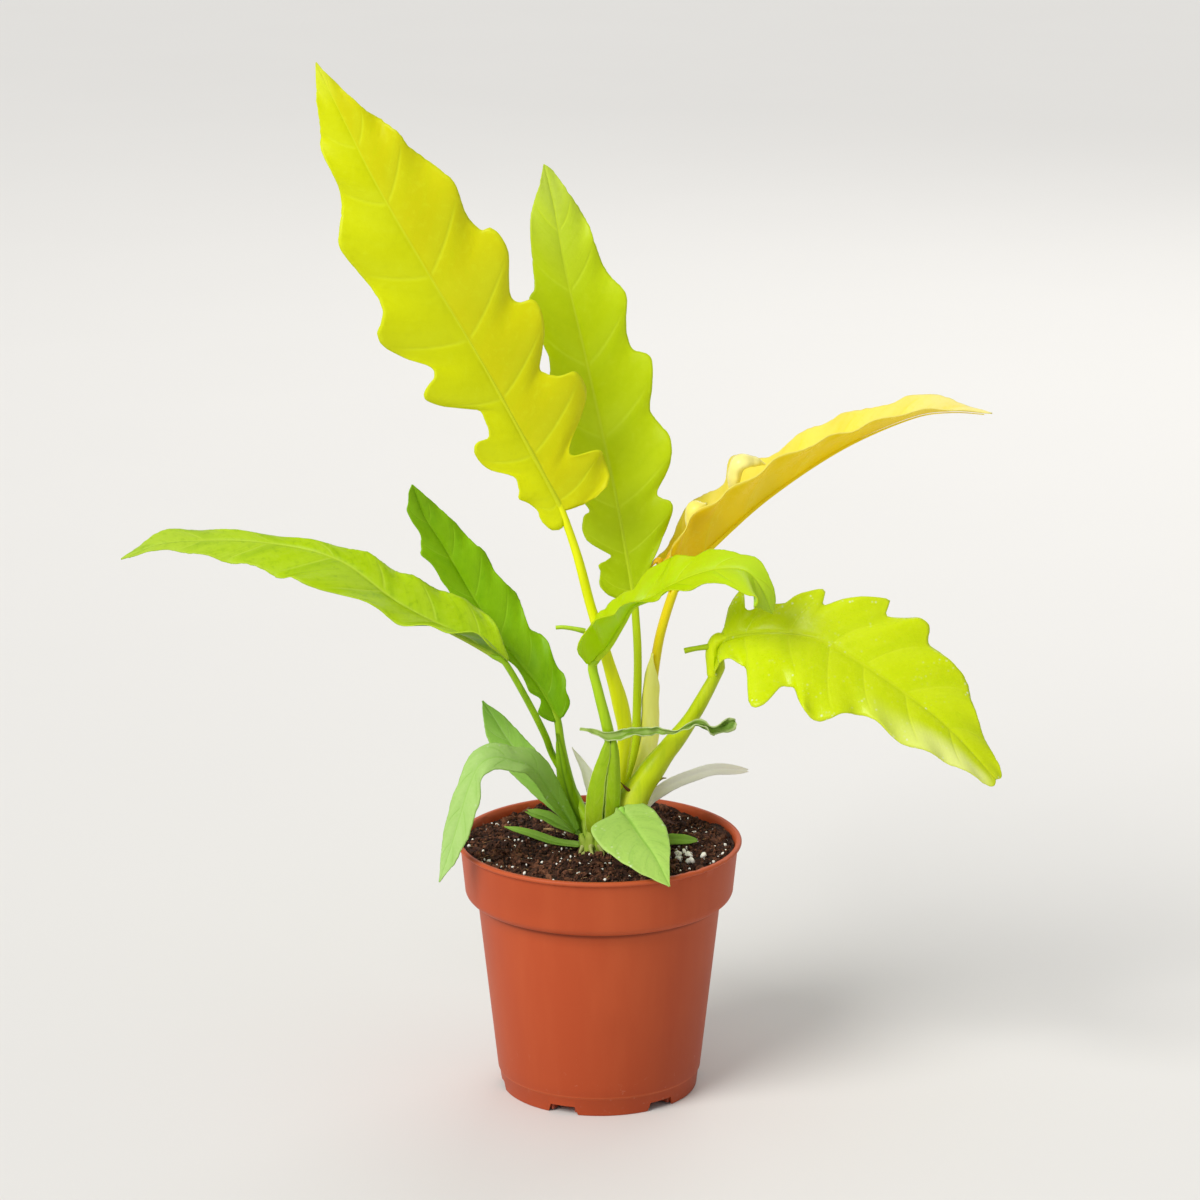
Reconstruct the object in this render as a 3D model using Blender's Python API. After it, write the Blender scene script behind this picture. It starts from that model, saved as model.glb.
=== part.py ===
# Young philodendron with lobed golden leaves, growing in a plastic nursery pot.
# Metres, +Z up.  The origin is the centre of the pot's base, the viewer stands at -Y.
# Leaf, stalk and sheath points are written in millimetres and turned into metres by MM.

from math import cos, exp, hypot, pi, radians, sin

import bmesh
import bpy
from mathutils import Vector

MM = 0.001
SEAT_GAP = 0.0004
SHARP_EDGE = radians(35)

# Pot: a thin moulded shell with a bead, a rim band, a step and a notched foot ring.
POT_HEIGHT = 0.0955
BEAD_RADIUS = 0.0525
BEAD_DROP = 0.0018
BAND_TOP_RADIUS = 0.0512
BAND_FOOT_RADIUS = 0.0494
BAND_FOOT_HEIGHT = 0.0785
STEP_RADIUS = 0.0449
STEP_HEIGHT = 0.0726
LINE_RADIUS = 0.0377
LINE_HEIGHT = 0.0074
FOOT_RADIUS = 0.0364
WALL = 0.0012
LIP_WALL = 0.0018
FLOOR_DISC_RADIUS = 0.0270
CHANNEL_INNER_RADIUS = 0.0295
CHANNEL_HEIGHT = 0.0036
FOOT_EDGE = 0.0004
BAND_EDGE = 0.0010
BAND_EDGE_HEIGHT = 0.0026
BEAD_EDGE = 0.0004
POT_TURNS = 48

# Notches in the foot ring, with a drainage slot above each one.
NOTCH_COUNT = 6
NOTCH_FIRST = radians(-111.5)
NOTCH_HEIGHT = 0.0033
NOTCH_WIDTH = 0.0130
SLOT_LENGTH = 0.0090
SLOT_DEPTH = 0.0030
SLOT_RADIUS = 0.0325
NOTCH_TAPER = 0.75
NOTCH_DEPTH = 0.0080
CUTTER_FOOT = -0.0020

# Potting mix: mounded a little towards the front of the pot.
MIX_GAP = 0.0003
MIX_HEIGHT = 0.0912
MIX_TILT = 0.030
MIX_SHOULDER = 0.0045
MIX_TURNS = 40
MIX_RINGS = (0.0487, 0.043, 0.036, 0.029, 0.022, 0.015, 0.007)
LUMP_HEIGHTS = (0.0005, 0.0004)
HOLLOW_DEPTH = 0.0006
HOLLOW_REACH = 0.016

# Crown: the short stem that every stalk springs from.
CROWN_CENTRE = Vector((0.0, -0.005, 0.096))
CROWN_RADIUS = 0.0090
CROWN_FOOT = 0.078
CROWN_TURNS = 24
RECESS_DEPTH = 0.040

BLADE_THICKNESS = 0.0008
BLADE_ROW_STEP = 0.0032
BLADE_COLUMNS = 4
CURVE_PARTS = 20
STALK_STEP = 0.005
FOOT_LEAD = 0.005
TOP_LEAD = 0.0025

YELLOW_GREEN = (0.62, 0.66, 0.01)
LIME = (0.50, 0.68, 0.01)
FRESH_GREEN = (0.32, 0.58, 0.04)
DEEP_GREEN = (0.16, 0.42, 0.02)
PALE_GREEN = (0.33, 0.62, 0.18)
AMBER = (0.72, 0.50, 0.03)
CREAM = (0.70, 0.66, 0.30)
HUSK = (0.80, 0.76, 0.62)
CROWN_GREEN = (0.40, 0.55, 0.10)
DRY_BROWN = (0.20, 0.10, 0.03)
TERRACOTTA = (0.55, 0.115, 0.045)
DARK_MIX = (0.035, 0.018, 0.012)
CUTTER_GREY = (0.5, 0.5, 0.5)

# Usual angle of the side veins from the midrib, from the base of a blade to its tip.
VEINS = ((0.0, 75), (0.15, 62), (0.8, 47), (1.0, 30))

# Each blade: the midrib from base to tip, the way its upper side faces, how far both
# halves rise from flat in degrees, and each margin as (along the midrib, reach) in mm.
BLADES = {
    "gold_leaf": dict(
        colour=YELLOW_GREEN,
        midrib=((-13, -8, 221), (-26, -12, 247), (-43, -17, 280), (-61, -22, 312),
                (-77, -24, 341), (-89, -22, 365), (-98, -18, 383)),
        facing=((0, (0.15, -1, 0.25)), (1, (-0.1, -1, 0.15))),
        fold=((0, 8), (1, 4)),
        right=((0, 3), (3, 20), (9, 22), (15, 13), (25, 31), (28, 32), (31, 26), (40, 20),
               (46, 28), (55, 33), (62, 26), (66, 24), (80, 35), (90, 28), (96, 26),
               (108, 30), (124, 24), (142, 19), (184, 0.6)),
        left=((0, 3), (3, 9), (10, 13), (15, 10), (22, 18), (28, 20), (35, 11), (43, 12),
              (47, 27), (53, 27), (61, 19), (68, 29), (74, 33), (83, 26), (90, 24),
              (108, 29), (127, 20), (145, 17), (184, 0.6)),
    ),
    "tall_leaf": dict(
        colour=LIME,
        midrib=((13, 12, 182), (6, 17, 221), (-1, 23, 253), (-6, 27, 275), (-12, 32, 300),
                (-16, 36, 322), (-20, 38, 339)),
        facing=((0, (0, -1, 0.2)), (1, (0.15, -1, 0.25))),
        fold=((0, 6), (1, 4)),
        right=((0, 2), (8, 9), (22, 22), (30, 18), (41, 27), (51, 23), (57, 22), (68, 27),
               (81, 21), (94, 25), (111, 18), (133, 14), (152, 6), (163, 0.6)),
        left=((0, 2), (3, 11), (11, 11), (16, 7), (22, 16), (30, 13), (38, 19), (54, 14),
              (66, 19), (81, 16), (100, 20), (114, 16), (138, 12), (163, 0.6)),
    ),
    "amber_leaf": dict(
        colour=AMBER,
        midrib=((26, 16, 184), (33, 20, 192.5), (42, 24, 201), (62, 32, 217),
                (89, 40, 233.5), (115, 45, 244), (130, 45, 246.5), (145, 43, 246)),
        facing=((0, (-0.6, -0.1, 1)), (0.3, (-0.2, -0.05, 1)), (1, (0, 0, 1))),
        fold=((0, 60), (0.3, 50), (0.7, 42), (1, 20)),
        right=((0, 2), (6, 15), (16, 24), (35, 25), (59, 20), (90, 11), (116, 5),
               (130, 4), (143, 0.6)),
        left=((0, 2), (4, 12), (9, 12), (15, 16), (22, 20), (35, 16), (41, 24), (54, 14),
              (67, 17), (77, 14), (84, 16), (100, 11), (108, 13), (124, 8), (143, 0.6)),
    ),
    "arching_leaf": dict(
        colour=FRESH_GREEN,
        midrib=((-3, -14, 165), (-1, -14.5, 168.5), (3, -15, 173), (8, -17, 182),
                (12, -19, 189), (20, -21, 193), (26, -24, 198), (35, -28, 203),
                (44, -32, 206), (52, -36, 206), (57, -39, 201), (61, -41, 192)),
        facing=((0, (-1, 0, 0.5)), (0.35, (-0.5, -0.25, 1)), (0.6, (0, -0.6, 0.9)),
                (0.8, (0.5, -0.7, 0.8)), (1, (0.9, -0.7, 0.4))),
        fold=((0, 48), (0.35, 25), (0.6, 10), (1, 5)),
        right=((0, 3), (4, 16), (11, 22), (20, 18), (30, 13), (42, 13), (52, 9), (70, 12),
               (82, 8), (95, 0.6)),
        left=((0, 3), (6, 13), (14, 12), (27, 9), (37, 12), (48, 11), (58, 11), (78, 7),
              (95, 0.6)),
    ),
    "lime_leaf": dict(
        colour=LIME,
        midrib=((42, -8, 161), (42.5, -9.5, 167), (45, -12.5, 174), (58, -19, 178.5),
                (76, -24, 178.5), (91, -29.5, 172), (107, -35.5, 162.5), (124, -41, 150),
                (141, -45, 132)),
        veins=((0, 80), (0.2, 76), (0.5, 66), (0.8, 50), (1, 30)),
        facing=((0, (-1, -0.3, 0.2)), (0.08, (-0.8, -0.5, 0.6)), (0.2, (0, -0.75, 0.65)),
                (0.7, (0.25, -0.75, 0.6)), (1, (0.5, -0.7, 0.5))),
        fold=((0, 20), (0.2, 10), (1, 4)),
        right=((0, 2), (4, 13), (10, 18), (16, 14), (21, 14), (25, 32), (32, 24), (38, 23),
               (44, 35), (57, 31), (71, 20), (78, 18), (84, 20), (100, 18), (122, 7),
               (132, 0.6)),
        left=((0, 2), (10, 5), (15, 14), (19, 17), (22, 10), (34, 12), (42, 19), (46, 16),
              (56, 27), (60, 24), (68, 28), (76, 23), (90, 23), (97, 17), (132, 0.6)),
    ),
    "long_leaf": dict(
        colour=FRESH_GREEN,
        midrib=((-33, -9, 165), (-47, -7, 173), (-72, -2, 185), (-94, 6, 199),
                (-117, 13, 203.5), (-140, 17, 204), (-160, 18, 202.5), (-175, 17, 197)),
        facing=((0, (0.5, -0.1, 1)), (0.25, (0.2, -0.5, 1)), (0.5, (0, -0.6, 1)),
                (1, (-0.3, -0.4, 1))),
        fold=((0, 38), (0.25, 18), (0.5, 2), (1, 2)),
        right=((0, 2), (10, 14), (18, 16), (36, 15), (50, 12), (62, 10), (73, 7), (99, 6),
               (125, 10), (135, 9), (156, 0.6)),
        left=((0, 2), (8, 14), (23, 15), (38, 14), (52, 18), (62, 25), (78, 20), (92, 17),
              (114, 12), (132, 6), (140, 6), (156, 0.6)),
    ),
    "green_leaf": dict(
        colour=DEEP_GREEN,
        midrib=((-15, 7, 138), (-22, 11, 150), (-35, 17, 165), (-47, 20, 183), (-56, 21, 199),
                (-64, 19, 213), (-68, 16, 225)),
        facing=((0, (0.45, -1, 0.3)), (1, (0.3, -1, 0.2))),
        fold=((0, 20), (0.6, 18), (1, 10)),
        right=((0, 2), (7, 10), (19, 15), (26, 14), (33, 17), (45, 15), (55, 16), (75, 10),
               (87, 9), (104, 0.6)),
        left=((0, 2), (10, 4), (31, 6), (43, 12), (55, 10), (71, 13), (85, 7), (97, 5),
              (104, 0.6)),
    ),
    "lance_leaf": dict(
        colour=DEEP_GREEN,
        seat=(-0.85, 0.42, 0.32),
        midrib=((-17, 8, 108), (-26, 12, 119), (-34, 15, 129), (-39, 16, 137), (-43, 16, 143)),
        facing=((0, (0.3, -1, 0.3)), (1, (0.3, -1, 0.3))),
        fold=((0, 15), (1, 8)),
        right=((0, 1.2), (10, 4), (22, 7), (45, 6), (64, 0.5)),
        left=((0, 1.2), (14, 5), (30, 9), (42, 9), (55, 5), (64, 0.5)),
    ),
    "hanging_leaf": dict(
        colour=PALE_GREEN,
        seat=(-0.85, -0.35, 0.42),
        midrib=((-17, -11, 116), (-24, -16, 127), (-30, -21, 131), (-37, -25, 134),
                (-43, -28, 132), (-47, -30, 124), (-50, -31, 114), (-54, -30, 100),
                (-58, -29, 88)),
        facing=((0, (0.3, -0.8, 0.6)), (0.45, (0, -0.7, 0.8)), (0.55, (-0.4, -0.6, 0.7)),
                (0.65, (-0.6, -0.8, 0.3)), (1, (-0.6, -0.8, 0))),
        fold=((0, 10), (1, 6)),
        right=((0, 1.2), (18, 5), (32, 7), (62, 6), (75, 7), (92, 5), (108, 0.5)),
        left=((0, 1.2), (14, 4), (32, 5), (52, 8), (72, 9), (92, 6), (108, 0.5)),
    ),
    "rim_leaf": dict(
        colour=PALE_GREEN,
        midrib=((8, -14, 111), (11, -22, 109), (15, -32, 106), (20, -43, 102), (25, -54, 95)),
        facing=((0, (0.2, -0.5, 1)), (0.6, (0.1, -0.6, 0.9)), (1, (0.1, -0.9, 0.6))),
        fold=((0, 6), (1, 6)),
        right=((0, 2), (5, 11), (10, 15), (25, 12), (47, 0.5)),
        left=((0, 2), (4, 9), (16, 11), (30, 8), (47, 0.5)),
    ),
    "withered_leaf": dict(
        colour=FRESH_GREEN,
        midrib=((-7, -16, 142), (-2, -16, 141), (3, -16, 139.5), (8, -16, 140), (17, -17, 141),
                (27, -17, 141), (34, -16, 143), (40, -14, 142), (49, -12, 143)),
        facing=((0, (0, -1, 0.4)), (0.5, (0, -1, 0.1)), (1, (0, -1, 0.5))),
        fold=((0, 10), (1, 10)),
        right=((0, 0.6), (6, 1.2), (20, 1.6), (38, 1.2), (50, 2.6), (58, 0.6)),
        left=((0, 0.6), (6, 1.0), (20, 1.4), (38, 1.2), (50, 2.4), (58, 0.6)),
    ),
    "front_sheath_left": dict(
        colour=DEEP_GREEN,
        seat=(-0.30, -0.78, 0.50),
        midrib=((-2, -14, 112), (-1, -14.5, 122), (1, -15, 130), (3, -15.3, 137.6)),
        facing=((0, (-0.3, -1, 0.1)), (1, (-0.3, -1, 0.1))),
        fold=((0, 8), (1, 8)),
        right=((0, 1.2), (14, 2.4), (26, 2.2), (38, 0.8)),
        left=((0, 1.2), (10, 3), (20, 2.6), (38, 0.8)),
    ),
    "front_sheath_right": dict(
        colour=DEEP_GREEN,
        seat=(0.30, -0.85, 0.42),
        midrib=((5, -14, 112), (5.5, -14.5, 122), (5.6, -15, 130), (5.4, -15.3, 137.6)),
        facing=((0, (0.3, -1, 0.1)), (1, (0.3, -1, 0.1))),
        fold=((0, 8), (1, 8)),
        right=((0, 1.2), (12, 2), (22, 1.8), (38, 0.6)),
        left=((0, 1.2), (12, 2), (24, 1.8), (38, 0.6)),
    ),
    "green_wing": dict(
        colour=DEEP_GREEN,
        seat=(-0.58, 0.45, 0.68),
        midrib=((-9.5, 4, 111), (-12, 6.5, 121), (-14, 8.5, 129)),
        facing=((0, (0.1, -1, 0.1)), (1, (0.1, -1, 0.1))),
        fold=((0, 12), (1, 12)),
        right=((0, 1.2), (6, 4), (14, 5), (22, 3), (30, 0.8)),
        left=((0, 1.2), (6, 2), (14, 3), (22, 1.8), (30, 0.8)),
    ),
    "pale_husk_right": dict(
        colour=HUSK,
        seat=(0.92, 0.38, 0.02),
        midrib=((13, 5, 100), (18, 11, 106), (26, 14, 111), (34, 16, 114),
                (43, 18, 116), (55, 20, 115)),
        facing=((0, (0, -1, 0.3)), (1, (0, -1, 0.3))),
        fold=((0, 6), (1, 6)),
        right=((0, 1), (20, 2.6), (40, 2.4), (60, 0.5)),
        left=((0, 1), (20, 2.4), (40, 2.6), (60, 0.5)),
    ),
    "pale_husk_left": dict(
        colour=HUSK,
        seat=(-0.15, 0.95, 0.25),
        midrib=((-2, 11, 108), (-5, 14, 116), (-10, 16, 125)),
        facing=((0, (0, -1, 0.2)), (1, (0, -1, 0.2))),
        fold=((0, 6), (1, 6)),
        right=((0, 1), (14, 3.4), (24, 2.4), (34, 0.5)),
        left=((0, 1), (14, 2.6), (24, 1.6), (34, 0.5)),
    ),
    "low_leaf_left": dict(
        colour=FRESH_GREEN,
        seat=(-0.93, -0.30, 0.05),
        midrib=((-16, -4, 95), (-26, 2, 96.5), (-35, 8, 97)),
        facing=((0, (0, -0.6, 1)), (1, (0, -0.6, 1))),
        fold=((0, 12), (1, 12)),
        right=((0, 1), (14, 2.2), (24, 1.8), (31, 0.5)),
        left=((0, 1), (14, 2.2), (24, 1.8), (31, 0.5)),
    ),
    "low_leaf_back": dict(
        colour=FRESH_GREEN,
        seat=(-0.86, 0.02, 0.18),
        midrib=((-14, -2.5, 101), (-19, 0, 103), (-26, 4, 104)),
        facing=((0, (0, -0.6, 1)), (1, (0, -0.6, 1))),
        fold=((0, 14), (1, 14)),
        right=((0, 1), (8, 3), (15, 3), (20, 1.6)),
        left=((0, 1), (8, 3), (15, 3), (20, 1.6)),
    ),
    "low_leaf_right": dict(
        colour=FRESH_GREEN,
        seat=(0.95, -0.15, 0.0),
        midrib=((18, -6, 95), (27, -5, 95.5), (36, -3, 94.5)),
        facing=((0, (0, -0.6, 1)), (1, (0, -0.6, 1))),
        fold=((0, 12), (1, 12)),
        right=((0, 1), (10, 2), (20, 2), (28, 0.5)),
        left=((0, 1), (10, 2), (20, 2), (28, 0.5)),
    ),
}

# Each stalk: the direction it leaves the crown in, its route to the blade that it
# carries, and its radius at the crown and under the blade.
STALKS = {
    "gold_stalk": dict(leaf="gold_leaf", colour=YELLOW_GREEN, seat=(0.30, 0.30, 0.90),
                       route=((7.5, 0, 122), (9, -0.5, 140), (2, -4, 168), (-3, -5, 185),
                              (-8, -7, 205)),
                       foot=2.3, top=1.6),
    "tall_stalk": dict(leaf="tall_leaf", colour=LIME, seat=(0.12, 0.80, 0.58),
                       route=((6, 7, 112), (12, 9.5, 128), (14, 12, 148), (14, 12, 165)),
                       foot=1.5, top=1.5),
    "amber_stalk": dict(leaf="amber_leaf", colour=CREAM, seat=(0.66, 0.70, 0.28),
                        route=((14, 7, 113), (18.5, 11, 130), (19, 13, 145), (22, 15, 167)),
                        foot=1.4, top=1.5),
    "arching_stalk": dict(leaf="arching_leaf", colour=FRESH_GREEN, seat=(0.12, -0.32, 0.94),
                          route=((4, -9, 118), (4.5, -11.5, 133), (0, -14, 154)),
                          foot=1.6, top=1.6),
    "lime_stalk": dict(leaf="lime_leaf", colour=LIME, seat=(0.86, -0.05, 0.50),
                       route=((15, -5, 113), (24, -5, 127), (32, -7, 141), (38, -8, 152)),
                       foot=3.6, top=2.4),
    "long_stalk": dict(leaf="long_leaf", colour=FRESH_GREEN, seat=(-0.40, 0.82, 0.40),
                       route=((-10, 8, 112), (-17, 7, 125), (-20, 1, 135), (-26, -4, 149)),
                       foot=1.3, top=1.4),
    "green_stalk": dict(leaf="green_leaf", colour=DEEP_GREEN, seat=(-0.50, 0.0, 0.86),
                        route=((-9, 0, 111), (-12, 2.5, 121), (-14, 5, 130)),
                        foot=1.6, top=1.4),
    "rim_stalk": dict(leaf="rim_leaf", colour=PALE_GREEN, seat=(0.62, -0.62, 0.48),
                      route=((7, -11.5, 104), (8, -11, 109)),
                      foot=1.3, top=1.2),
}

# The sheath that wraps the lower half of the amber stalk: its size in mm, its ends as
# shares of the stalk, and the angle it leaves open at the back.
AMBER_SHEATH = dict(radius=2.8, wall=0.5, start=0.20, end=0.62, opening=radians(70),
                    step=5, columns=10)

# Two dried scales that cling to the thick right-hand stalk.
SCALE_STEP = 0.002
SCALE_RADII = (0.7, 0.35)
SCALES = {
    "dry_scale_front": ((11.6, -8.5, 113), (10.3, -9.8, 116), (8.5, -10.6, 119.5)),
    "dry_scale_back": ((20.6, -5, 113.9), (22.3, -5, 113.6), (24.3, -5, 115)),
}


def clear_scene():
    for old in list(bpy.data.objects):
        bpy.data.objects.remove(old, do_unlink=True)


def make_material(name, colour, roughness):
    material = bpy.data.materials.new(name)
    material.use_nodes = True
    shader = material.node_tree.nodes["Principled BSDF"]
    shader.inputs["Base Color"].default_value = (*colour, 1.0)
    shader.inputs["Roughness"].default_value = roughness
    shader.inputs["Metallic"].default_value = 0.0
    material.diffuse_color = (*colour, 1.0)
    return material


def add_object(name, data, colour, roughness):
    piece = bpy.data.objects.new(name, data)
    bpy.context.scene.collection.objects.link(piece)
    piece.data.materials.append(make_material(name, colour, roughness))
    return piece


def add_mesh(name, bm, colour, roughness):
    bmesh.ops.recalc_face_normals(bm, faces=bm.faces)
    mesh = bpy.data.meshes.new(name)
    bm.to_mesh(mesh)
    bm.free()
    mesh.shade_smooth()
    mesh.set_sharp_from_angle(angle=SHARP_EDGE)
    return add_object(name, mesh, colour, roughness)


def between(keys, fraction):
    """Value of the (fraction, value) keys at the fraction, read on straight lines."""
    for (start, low), (end, high) in zip(keys, keys[1:]):
        if fraction <= end:
            share = (fraction - start) / (end - start)
            if isinstance(low, tuple):
                return Vector(low).lerp(Vector(high), share)
            return low + (high - low) * share
    last = keys[-1][1]
    return Vector(last) if isinstance(last, tuple) else last


def smooth_path(points, step):
    """Points a step apart on a smooth curve through the given points."""
    ends = [points[0] * 2 - points[1], *points, points[-1] * 2 - points[-2]]
    fine = []
    for before, start, end, after in zip(ends, ends[1:], ends[2:], ends[3:]):
        for part in range(CURVE_PARTS):
            t = part / CURVE_PARTS
            fine.append(0.5 * (2 * start + (end - before) * t
                               + (2 * before - 5 * start + 4 * end - after) * t * t
                               + (3 * start - before - 3 * end + after) * t ** 3))
    fine.append(points[-1])
    lengths = [0.0]
    for start, end in zip(fine, fine[1:]):
        lengths.append(lengths[-1] + (end - start).length)
    count = max(4, round(lengths[-1] / step))
    path = []
    index = 0
    for number in range(count + 1):
        wanted = lengths[-1] * number / count
        while index < len(fine) - 2 and lengths[index + 1] < wanted:
            index += 1
        span = lengths[index + 1] - lengths[index]
        path.append(fine[index].lerp(fine[index + 1], (wanted - lengths[index]) / span))
    return path


def directions(path):
    """Unit direction of travel at every point of a path."""
    last = len(path) - 1
    return [(path[min(i + 1, last)] - path[max(i - 1, 0)]).normalized()
            for i in range(last + 1)]


def crown_seat(direction):
    """Point just off the crown's dome, and the unit direction that leads there."""
    way = Vector(direction).normalized()
    return CROWN_CENTRE + way * (CROWN_RADIUS + SEAT_GAP), way


def blade_path(leaf):
    points = [Vector(point) * MM for point in leaf["midrib"]]
    if "seat" in leaf:
        points.insert(0, crown_seat(leaf["seat"])[0])
    return smooth_path(points, BLADE_ROW_STEP)


def reach(pairs, along):
    """Half-width of a blade, in metres, at a distance along its midrib in metres."""
    return between(pairs, min(along / MM, pairs[-1][0])) * MM


def make_blade(name, leaf):
    path = blade_path(leaf)
    ways = directions(path)
    rows = len(path) - 1
    length = sum((b - a).length for a, b in zip(path, path[1:]))
    bm = bmesh.new()
    bmesh.ops.create_grid(bm, x_segments=rows, y_segments=BLADE_COLUMNS, size=1.0)
    for vert in bm.verts:
        fraction = (vert.co.x + 1) / 2
        row = round(fraction * rows)
        across = vert.co.y
        way = ways[row]
        up = between(leaf["facing"], fraction)
        up = (up - way * up.dot(way)).normalized()
        side = way.cross(up) * (1 if across > 0 else -1)
        margin = leaf["right"] if across > 0 else leaf["left"]
        half = reach(margin, fraction * length) * abs(across)
        fold = radians(between(leaf["fold"], fraction))
        vein = radians(between(leaf.get("veins", VEINS), fraction))
        out = (side * cos(fold) + up * sin(fold)) * sin(vein) + way * cos(vein)
        vert.co = path[row] + out * half
    piece = add_mesh(name, bm, leaf["colour"], 0.45)
    solid = piece.modifiers.new("thickness", "SOLIDIFY")
    solid.thickness = BLADE_THICKNESS
    solid.offset = 0.0
    return piece


def make_tube(name, path, foot, top, colour):
    """Round tapering stalk along a path, its radii given in millimetres."""
    curve = bpy.data.curves.new(name, "CURVE")
    curve.dimensions = "3D"
    curve.bevel_depth = MM
    curve.bevel_resolution = 2
    curve.use_fill_caps = True
    spline = curve.splines.new("POLY")
    spline.points.add(len(path) - 1)
    last = len(path) - 1
    for number, (point, place) in enumerate(zip(spline.points, path)):
        point.co = (*place, 1.0)
        point.radius = foot + (top - foot) * number / last
    spline.use_smooth = True
    return add_object(name, curve, colour, 0.4)


def stalk_path(stalk):
    start, way = crown_seat(stalk["seat"])
    leaf_path = blade_path(BLADES[stalk["leaf"]])
    arrival = (leaf_path[1] - leaf_path[0]).normalized()
    end = leaf_path[0] - arrival * (SEAT_GAP + BLADE_THICKNESS / 4)
    points = [start, start + way * FOOT_LEAD]
    points += [Vector(point) * MM for point in stalk["route"]]
    points += [end - arrival * TOP_LEAD, end]
    return smooth_path(points, STALK_STEP)


def make_stalk(name, stalk):
    return make_tube(name, stalk_path(stalk), stalk["foot"], stalk["top"], stalk["colour"])


def make_amber_sheath():
    """Pale sheath that curls round the lower stalk and stays open at the back."""
    spec = AMBER_SHEATH
    core = stalk_path(STALKS["amber_stalk"])
    first = round(len(core) * spec["start"])
    last = round(len(core) * spec["end"])
    path = smooth_path(core[first:last + 1], spec["step"] * MM)
    ways = directions(path)
    rows = len(path) - 1
    bm = bmesh.new()
    bmesh.ops.create_grid(bm, x_segments=rows, y_segments=spec["columns"], size=1.0)
    for vert in bm.verts:
        row = round((vert.co.x + 1) / 2 * rows)
        way = ways[row]
        front = Vector((0, -1, 0))
        front = (front - way * front.dot(way)).normalized()
        side = way.cross(front)
        turn = vert.co.y * (pi - spec["opening"] / 2)
        vert.co = path[row] + (front * cos(turn) + side * sin(turn)) * spec["radius"] * MM
    piece = add_mesh("amber_sheath", bm, CREAM, 0.4)
    solid = piece.modifiers.new("thickness", "SOLIDIFY")
    solid.thickness = spec["wall"] * MM
    solid.offset = 0.0


def turned(name, profile, turns, colour, roughness):
    """Solid turned round Z from a profile of (radius, height), axis to axis."""
    bm = bmesh.new()
    verts = [bm.verts.new((radius, 0.0, height)) for radius, height in profile]
    for start, end in zip(verts, verts[1:]):
        bm.edges.new((start, end))
    bmesh.ops.spin(bm, geom=bm.verts[:] + bm.edges[:], cent=(0, 0, 0), axis=(0, 0, 1),
                   angle=2 * pi, steps=turns, use_merge=True)
    bmesh.ops.remove_doubles(bm, verts=bm.verts, dist=0.00002)
    return add_mesh(name, bm, colour, roughness)


def cut(piece, cutter):
    cutter.hide_render = True
    cutter.display_type = "WIRE"
    boolean = piece.modifiers.new("cut", "BOOLEAN")
    boolean.operation = "DIFFERENCE"
    boolean.solver = "EXACT"
    boolean.object = cutter


def wedge(bm, angle, radius, depth, height, foot_width, top_width):
    """Block that narrows upwards, standing on z = 0 and below it, facing outwards."""
    made = bmesh.ops.create_cube(bm, size=1.0)["verts"]
    for vert in made:
        upper = vert.co.z > 0
        width = top_width if upper else foot_width
        out = radius + vert.co.x * depth
        along = vert.co.y * width
        vert.co.x = out * cos(angle) - along * sin(angle)
        vert.co.y = out * sin(angle) + along * cos(angle)
        vert.co.z = height if upper else CUTTER_FOOT


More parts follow.
